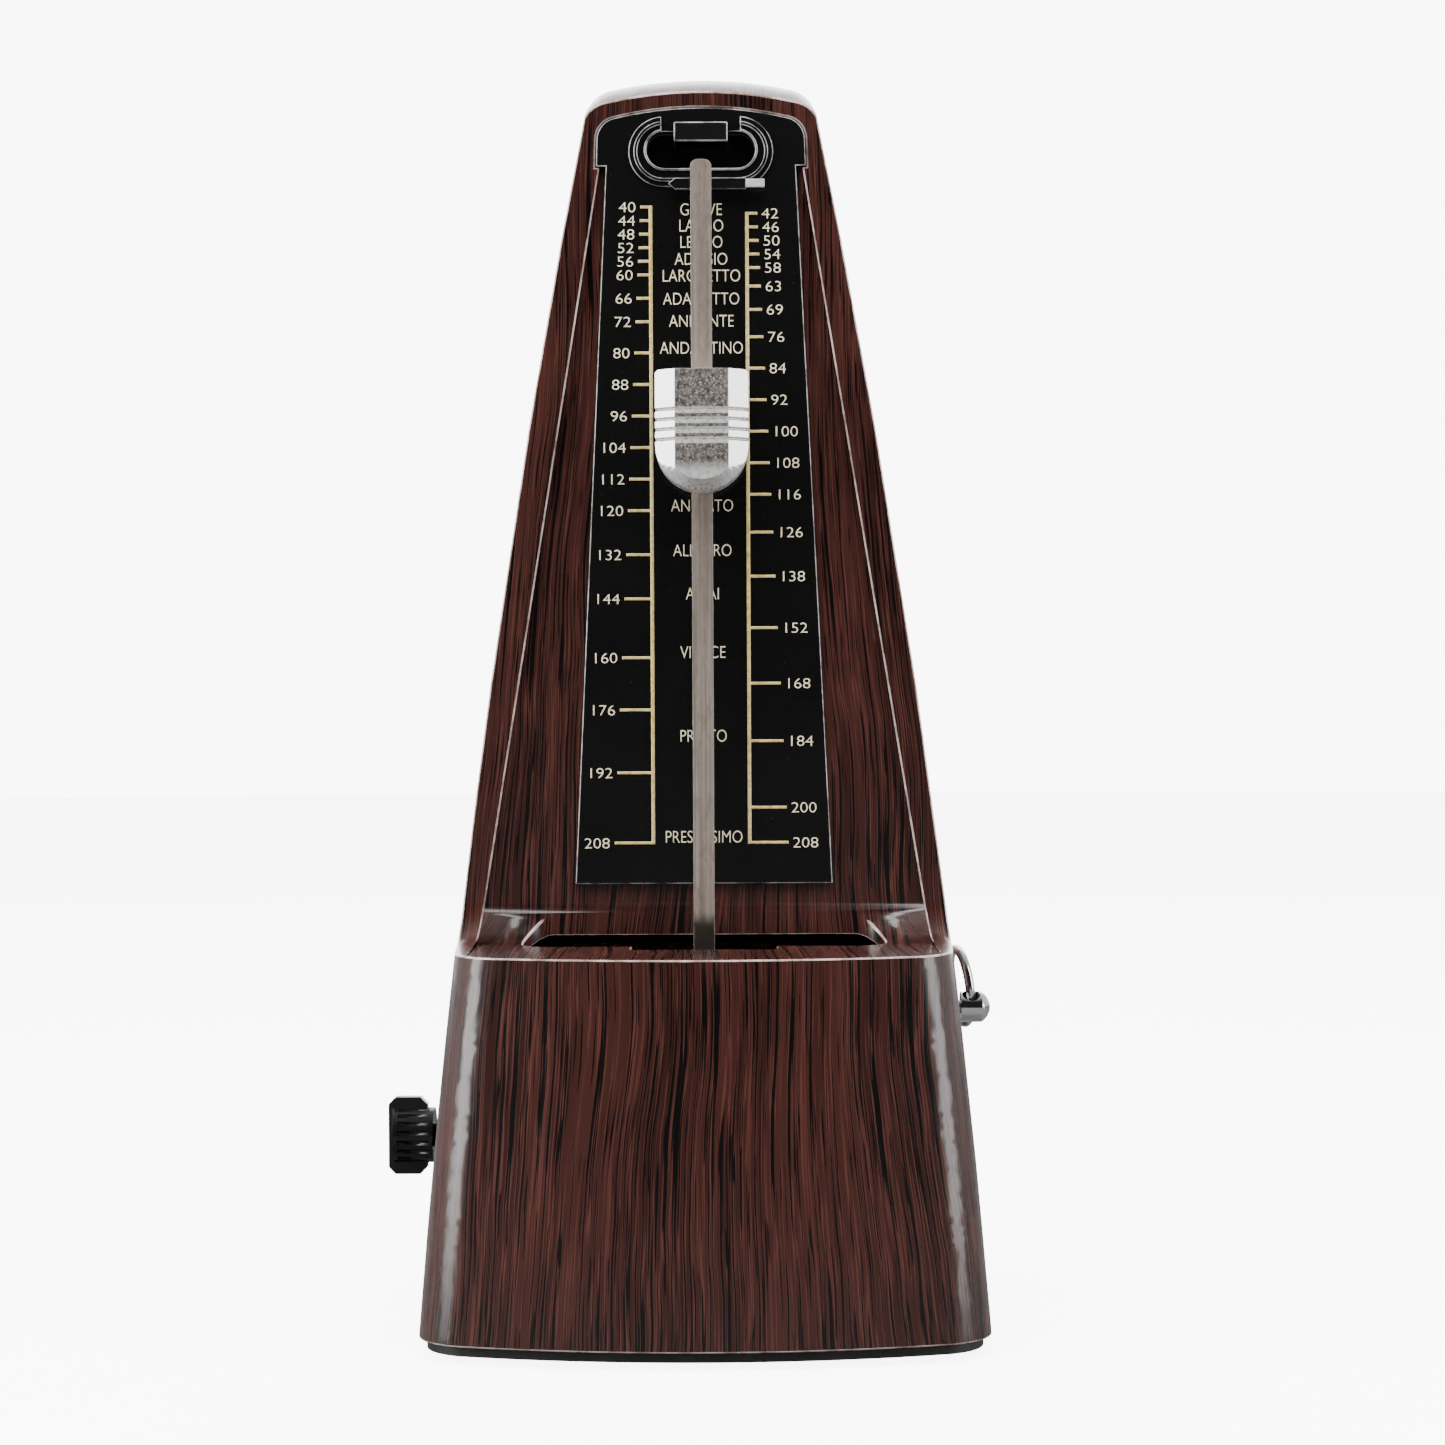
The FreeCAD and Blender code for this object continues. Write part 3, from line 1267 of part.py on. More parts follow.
def pendulum_bob():
    """A heavy disc on the rod's lower end."""
    bob = rod_y(BOB_RADIUS, *BOB_Y, (0, BOB_Z))
    half = ROD_WIDTH / 2 + 0.02
    slot = box(-half, half, ROD_Y[0] - 0.02, ROD_Y[1] + 0.02, ROD_BOTTOM_Z, BOB_Z + BOB_RADIUS + 1)
    return bob.cut(slot)


def pallet(y):
    """A hub on the pendulum arbor with a flag that hangs over the escape wheel."""
    hub = rod_y(2.2, y - 0.7, y + 0.7, (0, PIVOT_Z))
    flag = box(-1.3, 1.3, y - 0.5, y + 0.5, PIVOT_Z - PALLET_HANG, PIVOT_Z)
    return union([hub, flag]).cut(rod_y(ARBOR, y - 2, y + 2, (0, PIVOT_Z)))


def front_pallet():
    return pallet(FRONT_PALLET_Y)


def rear_pallet():
    return pallet(REAR_PALLET_Y)


def weight_outline(inset, y0, y1):
    """The weight from the front: square shoulders above a half round."""
    half = WEIGHT_HALF - inset
    top = WEIGHT_TOP_Z - inset
    centre_z = WEIGHT_TOP_Z - WEIGHT_HEIGHT + WEIGHT_HALF
    r = WEIGHT_CORNER if inset == 0 else 0.3
    block = box(-half, half, y0, y1, centre_z, top - r)
    cap = box(-half + r, half - r, y0, y1, top - r, top)
    corners = [rod_y(r, y0, y1, (side * (half - r), top - r)) for side in (-1, 1)]
    return union([block, cap, rod_y(half, y0, y1, (0, centre_z))] + corners)


def sliding_weight():
    """A hollow die-cast weight with a flat middle facet, bevelled sides and cross grooves."""
    y0, y1 = WEIGHT_Y
    low = WEIGHT_TOP_Z - WEIGHT_HEIGHT
    centre_z = low + WEIGHT_HALF
    facet = WEIGHT_FACET_HALF
    half = WEIGHT_HALF
    bevel_y = y0 + WEIGHT_BEVEL_DEPTH
    section = [(-facet, y0), (facet, y0), (half, bevel_y), (half, y1), (-half, y1)]
    weight = weight_outline(0, y0, y1)
    weight = weight.common(prism_z(section + [(-half, bevel_y)], low, WEIGHT_TOP_Z))
    # the lower edge rolls off like a shallow cone
    cone = Part.makeCone(half - 1.9, half, 2.2, Vector(0, y0, centre_z), Vector(0, 1, 0))
    keep = union(
        [
            cone,
            rod_y(half, y0 + 2.2, y1, (0, centre_z)),
            box(-half, half, y0, y1, centre_z, WEIGHT_TOP_Z),
        ]
    )
    weight = weight.common(keep)
    for i in range(RIB_COUNT):
        z = WEIGHT_TOP_Z - RIB_DROP - i * RIB_PITCH
        ring = prism_z(section + [(-half, bevel_y)], z - 0.3, z + 0.3)
        inner = [(x * 0.96, y + 0.35) for x, y in section + [(-half, bevel_y)]]
        weight = weight.cut(ring.cut(prism_z(inner, z - 0.3, z + 0.3)))
    skin = 1.9
    hollow_section = [(-facet * 0.8, y0 + skin), (facet * 0.8, y0 + skin), (half, bevel_y + skin)]
    hollow_section += [(half, y1 + 1), (-half, y1 + 1), (-half, bevel_y + skin)]
    hollow = weight_outline(WEIGHT_WALL, y0 + skin, y1 + 1)
    weight = weight.cut(hollow.common(prism_z(hollow_section, low, WEIGHT_TOP_Z)))
    gap = 0.08
    slide = box(
        -ROD_WIDTH / 2 - gap,
        ROD_WIDTH / 2 + gap,
        ROD_Y[0] - gap,
        ROD_Y[1] + gap,
        low - 1,
        WEIGHT_TOP_Z + 1,
    )
    return weight.cut(slide)


def weight_spring():
    """A bowed leaf inside the weight that presses on the rod."""
    middle_z = WEIGHT_TOP_Z - WEIGHT_HEIGHT / 2 + 0.6
    front = WEIGHT_Y[0] + 1.9
    nose = ROD_Y[0] - 0.12
    reach = 6.5
    leaf = 0.35
    outer = arc(
        Vector(-1.4, front, middle_z - reach),
        Vector(-1.4, nose, middle_z),
        Vector(-1.4, front, middle_z + reach),
    )
    inner = arc(
        Vector(-1.4, front, middle_z - reach + 0.5),
        Vector(-1.4, nose - leaf, middle_z),
        Vector(-1.4, front, middle_z + reach - 0.5),
    )
    ends = [
        line(outer.Vertexes[0].Point, inner.Vertexes[0].Point),
        line(outer.Vertexes[-1].Point, inner.Vertexes[-1].Point),
    ]
    wire = Part.Wire(Part.__sortEdges__([outer, inner] + ends))
    return Part.Face(wire).extrude(Vector(2.8, 0, 0))


# ---- export ---------------------------------------------------------------------------------
NODES = (
    case_shell,
    base_plate,
    rubber_feet,
    base_screws,
    scale_plate,
    cover_catch,
    rod_clip,
    rod_clip_tip,
    key_bush,
    selector_bush,
    left_plate,
    right_plate,
    plate_pillars,
    pillar_screws,
    mounting_brackets,
    bracket_screws,
    front_bridge,
    rear_bridge,
    bridge_screws,
    bell,
    bell_post,
    bell_screw,
    click_screw,
    detent_spring,
    winding_arbor,
    ratchet_wheel,
    winding_key,
    great_wheel,
    barrel,
    barrel_cover,
    mainspring,
    second_pinion,
    second_wheel,
    escape_pinion,
    escape_wheel,
    beat_cams,
    click,
    click_spring,
    selector_rod,
    selector_knob,
    hammer_spring,
    pull_ring,
    hammer_arm,
    hammer_head,
    pendulum_arbor,
    pendulum_rod,
    rod_collar,
    pendulum_bob,
    front_pallet,
    rear_pallet,
    sliding_weight,
    weight_spring,
)


def main():
    os.makedirs("parts", exist_ok=True)
    for make in NODES:
        shape = make()
        name = make.__name__
        shape.exportStep("parts/" + name + ".step")
        print(name, shape.isValid(), len(shape.Solids), round(shape.Volume, 1))


main()
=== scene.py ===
import json
import math

import bmesh
import bpy
from mathutils import Matrix, Vector


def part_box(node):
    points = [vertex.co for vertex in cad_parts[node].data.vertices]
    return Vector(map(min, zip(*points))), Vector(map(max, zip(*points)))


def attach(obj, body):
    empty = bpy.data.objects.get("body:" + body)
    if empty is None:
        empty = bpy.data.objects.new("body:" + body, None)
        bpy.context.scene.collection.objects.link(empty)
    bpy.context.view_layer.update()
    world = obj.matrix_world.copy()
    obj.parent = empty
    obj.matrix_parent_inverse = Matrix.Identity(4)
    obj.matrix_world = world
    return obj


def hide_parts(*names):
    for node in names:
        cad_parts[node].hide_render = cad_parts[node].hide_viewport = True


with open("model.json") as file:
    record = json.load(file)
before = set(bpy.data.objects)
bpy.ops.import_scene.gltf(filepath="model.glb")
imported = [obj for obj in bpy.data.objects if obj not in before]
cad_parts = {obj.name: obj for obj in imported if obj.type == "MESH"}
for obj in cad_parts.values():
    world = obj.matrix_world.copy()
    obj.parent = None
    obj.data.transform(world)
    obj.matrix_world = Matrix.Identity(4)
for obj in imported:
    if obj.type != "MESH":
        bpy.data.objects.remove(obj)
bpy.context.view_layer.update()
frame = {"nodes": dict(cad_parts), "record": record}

MM = 0.001

# ---- places: boxes are in metres, every other size in millimetres -----------------------------
WEIGHT_LOW, WEIGHT_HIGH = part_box("sliding_weight")
RIB_DROP = 7.0                        # from the weight's top to its first groove
RIB_PITCH = 1.75
RIB_COUNT = 4
FACET_HALF = 4.5                      # half the width of the weight's flat middle facet
FACET_FADE = 0.3
TIP_START = 2.5                       # the facet's painted grey reflection fades out over the weight's pointed foot
TIP_END = 5.5
SLOT_SHADE_FROM = 72.5                       # heights between which the rod's foot turns from painted slot shade to bright steel
SLOT_SHADE_TO = 75.5
PLATE_FRONT_Y = -10.2                 # the scale plate's face, behind its raised rim
MARK_PROUD = 0.12                     # how far the printed marks stand off the plate
MARK_SINK = 0.05                      # how far their backs reach into it
MARK_LIP = 0.12                       # the widest chamfer round a mark's top
MARK_CHAMFER = 0.06                   # and its depth
TICK_OVERLAP = 0.05                   # how far a tick reaches into its line
LETTER_SINK = 0.01                    # how far the letters' backs reach into the plate

# ---- tempo marks -----------------------------------------------------------------------------
# height of some marks above the floor; the marks between them are evenly spaced
TEMPO_HEIGHTS = (
    (40, 198.9),
    (60, 186.8),
    (80, 172.9),
    (120, 144.8),
    (144, 129.1),
    (160, 118.6),
    (176, 109.3),
    (192, 98.1),
    (208, 85.6),
)
LEFT_TEMPOS = (40, 44, 48, 52, 56, 60, 66, 72, 80, 88, 96, 104, 112, 120, 132, 144, 160, 176, 192, 208)
RIGHT_TEMPOS = (42, 46, 50, 54, 58, 63, 69, 76, 84, 92, 100, 108, 116, 126, 138, 152, 168, 184, 200, 208)
TEMPO_WORDS = (
    ("GRAVE", 40.7),
    ("LARGO", 45.5),
    ("LENTO", 50.3),
    ("ADAGIO", 55.3),
    ("LARGHETTO", 60.2),
    ("ADAGIETTO", 66.1),
    ("ANDANTE", 71.8),
    ("ANDANTINO", 78.7),
    ("MODERATO", 92.0),
    ("ALLEGRETTO", 106.0),
    ("ANIMATO", 118.7),
    ("ALLEGRO", 130.8),
    ("ASSAI", 142.6),
    ("VIVACE", 158.5),
    ("PRESTO", 182.6),
    ("PRESTISSIMO", 206.6),
)
LINE_X = {-1: 9.0, 1: 8.15}           # the left and the right line, from the plate's middle
LINE_WIDTH = 0.62
TICK_THICK = 0.5
TICK_LENGTH_TOP = 1.5
TICK_LENGTH_BOTTOM = 6.6
DIGIT_HEIGHT = 1.87
DIGIT_STRETCH = 1.18
WORD_HEIGHT = 2.2
WORD_STRETCH = 0.78
STROKE_THIN = -0.011                  # thins the letters' strokes
FONT_CAP = 0.70                       # cap height of the built-in font at size 1
NUMBER_GAP = {-1: 0.75, 1: 0.7}       # from a tick's end to its number


def tempo_height(tempo):
    for (slow, high), (fast, low) in zip(TEMPO_HEIGHTS, TEMPO_HEIGHTS[1:]):
        if tempo <= fast:
            return high + (low - high) * (tempo - slow) / (fast - slow)
    return TEMPO_HEIGHTS[-1][1]


# ---- colours of the wood film, scene linear ---------------------------------------------------
WOOD_LINE = (0.0012, 0.0007, 0.0006)
WOOD_DEEP = (0.0260, 0.0082, 0.0064)
WOOD_MID = (0.0470, 0.0148, 0.0116)
# a painted highlight: the lighter rim painted along each dark line
WOOD_LINE_HIGHLIGHT = (0.1150, 0.0370, 0.0290)

# ---- the film's grain, in metres ----------------------------------------------------------------
SIDE_FACING = 0.7                     # faces turned further to the side than this are sides
CORNER_Y = -0.0429                    # the front corner's place at the floor, and how it leans back
CORNER_LEAN = 0.081
EDGE_X = 0.045                        # where the lines lean fully with the case's taper
TAPER = 0.13
LEDGE_RUN = 0.8                       # how fast the grain runs on over the level ledge
SWAY = 0.010                          # widths of the lines' slow and quick wandering
SHIVER = 0.0011


# ---- node helpers ----------------------------------------------------------------------------
class Shader:
    """A material under construction: short ways to add and join nodes."""

    def __init__(self, name):
        self.material = bpy.data.materials.new(name)
        self.material.use_nodes = True
        self.nodes = self.material.node_tree.nodes
        self.links = self.material.node_tree.links
        self.bsdf = self.nodes["Principled BSDF"]

    def set(self, **values):
        for key, value in values.items():
            self.bsdf.inputs[key.replace("_", " ")].default_value = value

    def add(self, kind, **settings):
        node = self.nodes.new("ShaderNode" + kind)
        for key, value in settings.items():
            setattr(node, key, value)
        return node

    def join(self, source, target):
        self.links.new(source, target)

    def give(self, socket, value):
        """Links a socket to another node's output, or sets it to a value."""
        if isinstance(value, bpy.types.NodeSocket):
            self.join(value, socket)
        elif isinstance(value, tuple):
            socket.default_value = (*value, 1)
        else:
            socket.default_value = value

    def math(self, operation, a, b=0.0):
        node = self.add("Math", operation=operation)
        self.give(node.inputs[0], a)
        self.give(node.inputs[1], b)
        return node.outputs[0]

    def place(self):
        return self.add("TexCoord").outputs["Object"]

    def stretched(self, vector, scale):
        node = self.add("Mapping")
        self.join(vector, node.inputs["Vector"])
        node.inputs["Scale"].default_value = scale
        return node.outputs["Vector"]

    def noise(self, vector, scale, detail=3.0, rough=0.5):
        node = self.add("TexNoise")
        self.join(vector, node.inputs["Vector"])
        node.inputs["Scale"].default_value = scale
        node.inputs["Detail"].default_value = detail
        node.inputs["Roughness"].default_value = rough
        return node.outputs["Fac"]

    def ramp(self, factor, *stops):
        """stops are (position, colour or grey level)."""
        node = self.add("ValToRGB")
        self.join(factor, node.inputs["Fac"])
        elements = node.color_ramp.elements
        while len(elements) < len(stops):
            elements.new(0.5)
        for element, (position, level) in zip(elements, stops):
            element.position = position
            grey = not isinstance(level, tuple)
            element.color = (level, level, level, 1) if grey else (*level, 1)
        return node.outputs["Color"]

    def smooth(self, value, low, high, out_low=0.0, out_high=1.0):
        node = self.add("MapRange", interpolation_type="SMOOTHSTEP")
        self.join(value, node.inputs["Value"])
        node.inputs["From Min"].default_value = low
        node.inputs["From Max"].default_value = high
        node.inputs["To Min"].default_value = out_low
        node.inputs["To Max"].default_value = out_high
        return node.outputs["Result"]

    def mix(self, factor, a, b):
        node = self.add("Mix", data_type="RGBA")
        first, second = [socket for socket in node.inputs if socket.type == "RGBA"]
        self.give(node.inputs[0], factor)
        self.give(first, a)
        self.give(second, b)
        return [socket for socket in node.outputs if socket.type == "RGBA"][0]

    def split(self, vector):
        node = self.add("SeparateXYZ")
        self.join(vector, node.inputs[0])
        return node.outputs

    def combine(self, x, y, z):
        node = self.add("CombineXYZ")
        for socket, value in zip(node.inputs, (x, y, z)):
            self.give(socket, value)
        return node.outputs[0]

    def colour(self, socket):
        self.join(socket, self.bsdf.inputs["Base Color"])

    def rough(self, socket):
        self.join(socket, self.bsdf.inputs["Roughness"])

    def bump(self, height, strength, distance):
        node = self.add("Bump")
        node.inputs["Strength"].default_value = strength
        node.inputs["Distance"].default_value = distance
        self.join(height, node.inputs["Height"])
        self.join(node.outputs["Normal"], self.bsdf.inputs["Normal"])


# ---- materials -------------------------------------------------------------------------------
def wood_film():
    """Glossy dark mahogany film: long near-black pores and streaks on red brown, each streak with a
    painted highlight along its rim.
    """
    s = Shader("wood_film")
    coords = s.add("TexCoord")
    x, y, z = s.split(coords.outputs["Object"])
    sideways = s.math("ABSOLUTE", s.split(coords.outputs["Normal"])[0])
    # the grain runs up every face: its width is measured along x on the front, the ledge and
    # the back, and along y on the sides, where it starts from the front corner's 45 degree line
    on_side = s.math("GREATER_THAN", sideways, SIDE_FACING)
    corner_y = s.math("ADD", s.math("MULTIPLY", z, CORNER_LEAN), CORNER_Y)
    round_side = s.math("MULTIPLY", s.math("SIGN", x), s.math("SUBTRACT", y, corner_y))
    across = s.math("ADD", x, s.math("MULTIPLY", round_side, on_side))
    # lines near the edges lean with the case's taper
    edgeward = s.add("Clamp")
    s.join(s.math("DIVIDE", x, EDGE_X), edgeward.inputs["Value"])
    edgeward.inputs["Min"].default_value = -1.0
    taper = s.math("MULTIPLY", s.math("MULTIPLY", edgeward.outputs[0], z), TAPER)
    across = s.math("ADD", across, taper)
    run = s.math("SUBTRACT", z, s.math("MULTIPLY", y, LEDGE_RUN))
    flat = s.combine(across, 0.0, run)
    sway = s.noise(s.stretched(flat, (20, 1, 15)), 1.0, 1.0)
    shiver = s.noise(s.stretched(flat, (75, 1, 60)), 1.0, 1.0)
    bent = s.math("ADD", across, s.math("MULTIPLY", s.math("SUBTRACT", sway, 0.5), SWAY))
    bent = s.math("ADD", bent, s.math("MULTIPLY", s.math("SUBTRACT", shiver, 0.5), SHIVER))
    grain = s.combine(bent, 0.0, run)
    cluster = s.noise(s.stretched(grain, (120, 1, 7)), 1.0, 2.0, 0.5)
    streak = s.noise(s.stretched(grain, (1850, 1, 17)), 1.0, 2.0, 0.55)
    pore = s.noise(s.stretched(grain, (2300, 1, 60)), 1.0, 1.0, 0.5)
    # a dark line shows where the streak noise drops under a level that clusters raise
    level = s.math("MULTIPLY", s.math("SUBTRACT", cluster, 0.5), 0.18)
    lines = s.math("ADD", streak, level)
    line_mask = s.smooth(lines, 0.430, 0.458)
    pore_mask = s.smooth(s.math("ADD", pore, s.math("MULTIPLY", level, 0.4)), 0.355, 0.400)
    # painted highlight: a lighter rim along each dark line, where light would catch the groove's edge
    edge = s.smooth(lines, 0.458, 0.53, 1.0, 0.0)
    base = s.mix(s.smooth(cluster, 0.35, 0.65), WOOD_DEEP, WOOD_MID)
    tone = s.mix(s.math("MULTIPLY", edge, 0.75), base, WOOD_LINE_HIGHLIGHT)
    tone = s.mix(line_mask, WOOD_LINE, tone)
    tone = s.mix(pore_mask, WOOD_LINE, tone)
    s.colour(tone)
    relief = s.math("ADD", s.math("MULTIPLY", line_mask, 0.6), s.math("MULTIPLY", pore_mask, 0.4))
    s.bump(relief, 0.35, 0.00006)
    s.rough(s.smooth(streak, 0.3, 0.7, 0.40, 0.30))
    s.set(Coat_Weight=0.9, Coat_Roughness=0.2, Specular_IOR_Level=0.2)
    return s.material


def black_gloss(name, level, roughness):
    """Moulded black plastic with faint dust and a soft orange peel."""
    s = Shader(name)
    place = s.place()
    dust = s.noise(place, 2600.0, 1.0)
    cloud = s.noise(place, 60.0, 3.0)
    s.colour(s.ramp(dust, (0.0, level), (0.80, level * 1.15), (0.83, 0.05)))
    s.rough(s.smooth(cloud, 0.3, 0.7, roughness - 0.05, roughness + 0.08))
    s.bump(s.noise(place, 420.0, 2.0), 0.04, 0.0001)
    s.set(Specular_IOR_Level=0.35)
    return s.material


def worn_edge(name, dark, bright):
    """The glossy rounding along a moulded part's edges, painted brighter than its faces: a painted
    highlight.
    """
    s = Shader(name)
    place = s.place()
    # the noise makes the painted highlight brighter in some places along the edge than in others
    glint = s.noise(place, 260.0, 4.0, 0.6)
    s.colour(s.ramp(glint, (0.36, dark), (0.62, bright)))
    s.rough(s.smooth(glint, 0.3, 0.7, 0.2, 0.34))
    s.bump(s.noise(place, 1400.0), 0.05, 0.00005)
    s.set(Specular_IOR_Level=0.9, Coat_Weight=0.8, Coat_Roughness=0.15)
    return s.material


def satin_black():
    """Moulded black plastic with a fine spark-eroded texture."""
    s = Shader("black_base")
    place = s.place()
    s.colour(s.ramp(s.noise(place, 140.0), (0.3, 0.014), (0.7, 0.03)))
    s.rough(s.smooth(s.noise(place, 900.0, 2.0), 0.3, 0.7, 0.42, 0.6))
    s.bump(s.noise(place, 1800.0, 2.0), 0.25, 0.00015)
    return s.material


def rubber():
    """Matt black rubber with a fine grain."""
    s = Shader("rubber")
    place = s.place()
    s.colour(s.ramp(s.noise(place, 300.0), (0.3, 0.012), (0.7, 0.03)))
    s.rough(s.smooth(s.noise(place, 1200.0), 0.3, 0.7, 0.7, 0.9))
    s.bump(s.noise(place, 2600.0, 2.0), 0.3, 0.0002)
    return s.material


def rod_steel():
    """Satin steel strip with drawn lines; its foot, inside the slot, is painted dark with the slot's
    shade.
    """
    s = Shader("rod_steel")
    place = s.place()
    z = s.split(place)[2]
    drawn = s.noise(s.stretched(place, (2600, 400, 30)), 1.0, 3.0)
    mottle = s.noise(s.stretched(place, (500, 300, 160)), 1.0, 4.0, 0.6)
    tone = s.ramp(drawn, (0.3, (0.46, 0.38, 0.32)), (0.7, (0.80, 0.68, 0.59)))
    tone = s.mix(s.smooth(mottle, 0.42, 0.68, 0.0, 0.6), tone, (0.28, 0.22, 0.185))
    # painted shade: the rod's foot turns dark where it goes down into the slot
    edge = s.math("ADD", z, s.math("MULTIPLY", s.noise(place, 160.0), 0.003))
    tone = s.mix(s.smooth(edge, SLOT_SHADE_FROM * MM, SLOT_SHADE_TO * MM), (0.075, 0.06, 0.052), tone)
    s.colour(tone)
    s.rough(s.smooth(mottle, 0.3, 0.7, 0.36, 0.52))
    s.bump(drawn, 0.12, 0.00008)
    s.set(Metallic=0.82)
    return s.material


def cast_metal():
    """Pale die-cast metal whose look is a painted reflection: bright on the chamfers and foot, the flat
    middle facet painted grey, pitted and crossed by bright ribs.
    """
    s = Shader("cast_metal")
    place = s.place()
    sideways, _, z = s.split(place)
    normal = s.split(s.add("NewGeometry").outputs["Normal"])
    pits = s.noise(place, 2600.0, 4.0, 0.7)
    cloud = s.noise(place, 1100.0, 3.0, 0.6)
    facing = s.smooth(s.math("MULTIPLY", normal[1], -1.0), 0.985, 0.995)
    outside = s.math("ABSOLUTE", sideways)
    middle = s.smooth(outside, FACET_HALF * MM, (FACET_HALF + FACET_FADE) * MM, 1.0, 0.0)
    drop = s.math("SUBTRACT", WEIGHT_HIGH[2] - RIB_DROP * MM, z)
    turn = s.math("FRACT", s.math("DIVIDE", drop, RIB_PITCH * MM))
    rib = s.smooth(turn, 0.42, 0.50, 1.0, 0.0)
    below_first = s.math("GREATER_THAN", drop, 0.0)
    above_last = s.math("LESS_THAN", drop, RIB_PITCH * RIB_COUNT * MM)
    ribbed = s.math("MULTIPLY", rib, s.math("MULTIPLY", below_first, above_last))
    tip = s.smooth(z, WEIGHT_LOW[2] + TIP_START * MM, WEIGHT_LOW[2] + TIP_END * MM)
    facet = s.math("MULTIPLY", s.math("MULTIPLY", facing, middle), tip)
    facet = s.math("MULTIPLY", facet, s.math("SUBTRACT", 1.0, ribbed))
    # painted reflection: pale where the weight would mirror the bright studio, grey on the front facet
    # where it would mirror the dark ahead
    bright = s.ramp(cloud, (0.3, (0.72, 0.71, 0.70)), (0.7, (0.95, 0.94, 0.93)))
    grey = s.ramp(cloud, (0.36, (0.075, 0.065, 0.058)), (0.64, (0.25, 0.22, 0.20)))
    grey = s.mix(s.smooth(pits, 0.52, 0.62, 0.0, 0.75), grey, (0.62, 0.59, 0.56))
    s.colour(s.mix(facet, bright, grey))
    s.rough(s.math("ADD", s.smooth(cloud, 0.3, 0.7, 0.24, 0.36), s.math("MULTIPLY", facet, 0.12)))
    s.bump(s.math("MULTIPLY", pits, s.math("ADD", s.math("MULTIPLY", facet, 0.8), 0.2)), 0.3, 0.0002)
    # half metallic, so the painted pale colour shows under any lamp
    s.set(Metallic=0.5)
    return s.material


def plated(name, colour, roughness, scratch, metallic=1.0):
    """Polished or rolled metal with fine handling marks."""
    s = Shader(name)
    place = s.place()
    marks = s.noise(s.stretched(place, (900, 900, 4200)), 1.0, 3.0, 0.6)
    cloud = s.noise(place, 220.0, 3.0)
    dim = tuple(c * 0.82 for c in colour)
    s.colour(s.ramp(cloud, (0.3, dim), (0.7, colour)))
    s.rough(s.smooth(cloud, 0.25, 0.75, roughness * 0.8, roughness * 1.35))
    s.bump(marks, scratch, 0.0001)
    s.set(Metallic=metallic)
    return s.material


def cast_iron():
    """Rough grey iron."""
    s = Shader("cast_iron")
    place = s.place()
    grain = s.noise(place, 900.0, 4.0, 0.65)
    s.colour(s.ramp(grain, (0.3, (0.09, 0.09, 0.095)), (0.7, (0.22, 0.22, 0.23))))
    s.rough(s.smooth(grain, 0.3, 0.7, 0.5, 0.7))
    s.bump(grain, 0.35, 0.0003)
    s.set(Metallic=0.7)
    return s.material


def mark_gold():
    """Hot-stamped gold foil."""
    s = Shader("mark_gold")
    place = s.place()
    foil = s.noise(place, 1500.0, 3.0, 0.6)
    s.colour(s.ramp(foil, (0.3, (0.60, 0.43, 0.13)), (0.6, (0.90, 0.72, 0.32))))
    s.rough(s.smooth(foil, 0.3, 0.7, 0.34, 0.5))
    s.bump(foil, 0.1, 0.00005)
    s.set(Metallic=0.25)
    return s.material


def mark_cream():
    """Cream printing ink."""
    s = Shader("mark_cream")
    place = s.place()
    ink = s.noise(place, 1800.0, 2.0)
    s.colour(s.ramp(ink, (0.3, (0.78, 0.68, 0.42)), (0.65, (0.95, 0.89, 0.68))))
    s.rough(s.smooth(ink, 0.3, 0.7, 0.45, 0.6))
    s.bump(ink, 0.08, 0.00004)
    return s.material


MATERIALS = {
    "case_woodgrain": wood_film(),
    "black_gloss": black_gloss("black_gloss", 0.006, 0.25),
    "black_base": satin_black(),
    "scale_black": black_gloss("scale_black", 0.0045, 0.14),
    "foot_rubber": rubber(),
    "rod_steel": rod_steel(),
    "weight_cast": cast_metal(),
    "chrome": plated("chrome", (0.80, 0.79, 0.78), 0.09, 0.02),
    "steel": plated("steel", (0.58, 0.57, 0.56), 0.24, 0.08),
    "brass": plated("brass", (0.80, 0.58, 0.25), 0.24, 0.08),
    "bell_steel": plated("bell_steel", (0.70, 0.70, 0.71), 0.12, 0.03),
    "bob_iron": cast_iron(),
    "spring_steel": plated("spring_steel", (0.20, 0.23, 0.30), 0.28, 0.08),
    "black_metal": black_gloss("black_metal", 0.005, 0.22),
}
GOLD = mark_gold()
CREAM = mark_cream()
# the clip's tip: pale and only half metallic so it looks light grey under any lamp, partly a painted
# reflection
TIP = plated("bright_tip", (0.90, 0.88, 0.85), 0.42, 0.05, 0.55)
# a paler, less metallic steel on the rod's rounded edges: a painted highlight
ROD_HIGHLIGHT_EDGE = plated("rod_highlight_edge", (0.78, 0.74, 0.70), 0.35, 0.04, 0.6)
# painted highlights: pale glossy colour on the rounded edges of the black parts and of the wood case
BLACK_HIGHLIGHT_EDGE = worn_edge("black_highlight_edge", (0.06, 0.06, 0.06), (0.42, 0.42, 0.42))
WOOD_HIGHLIGHT_EDGE = worn_edge("wood_highlight_edge", (0.22, 0.13, 0.11), (0.58, 0.47, 0.44))


def dress_frame():
    """Every CAD node takes its slot's material."""
    slots = {part["node"]: part["material_slot"] for part in frame["record"]["subparts"]}
    for name, node in frame["nodes"].items():
        node.data.materials.clear()
        node.data.materials.append(MATERIALS[slots[name]])


# ---- finished nodes ----------------------------------------------------------------------------
SHARP = math.radians(35)              # edges that turn further than this are rounded
FLAT = math.radians(0.8)              # faces that meet at less than this are joined first
WELD = 0.002                          # corners closer than this are one
LETTER_WELD = 0.0005


def add_object(name, mesh, body):
    piece = bpy.data.objects.new(name, mesh)
    bpy.context.scene.collection.objects.link(piece)
    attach(piece, body)
    return piece


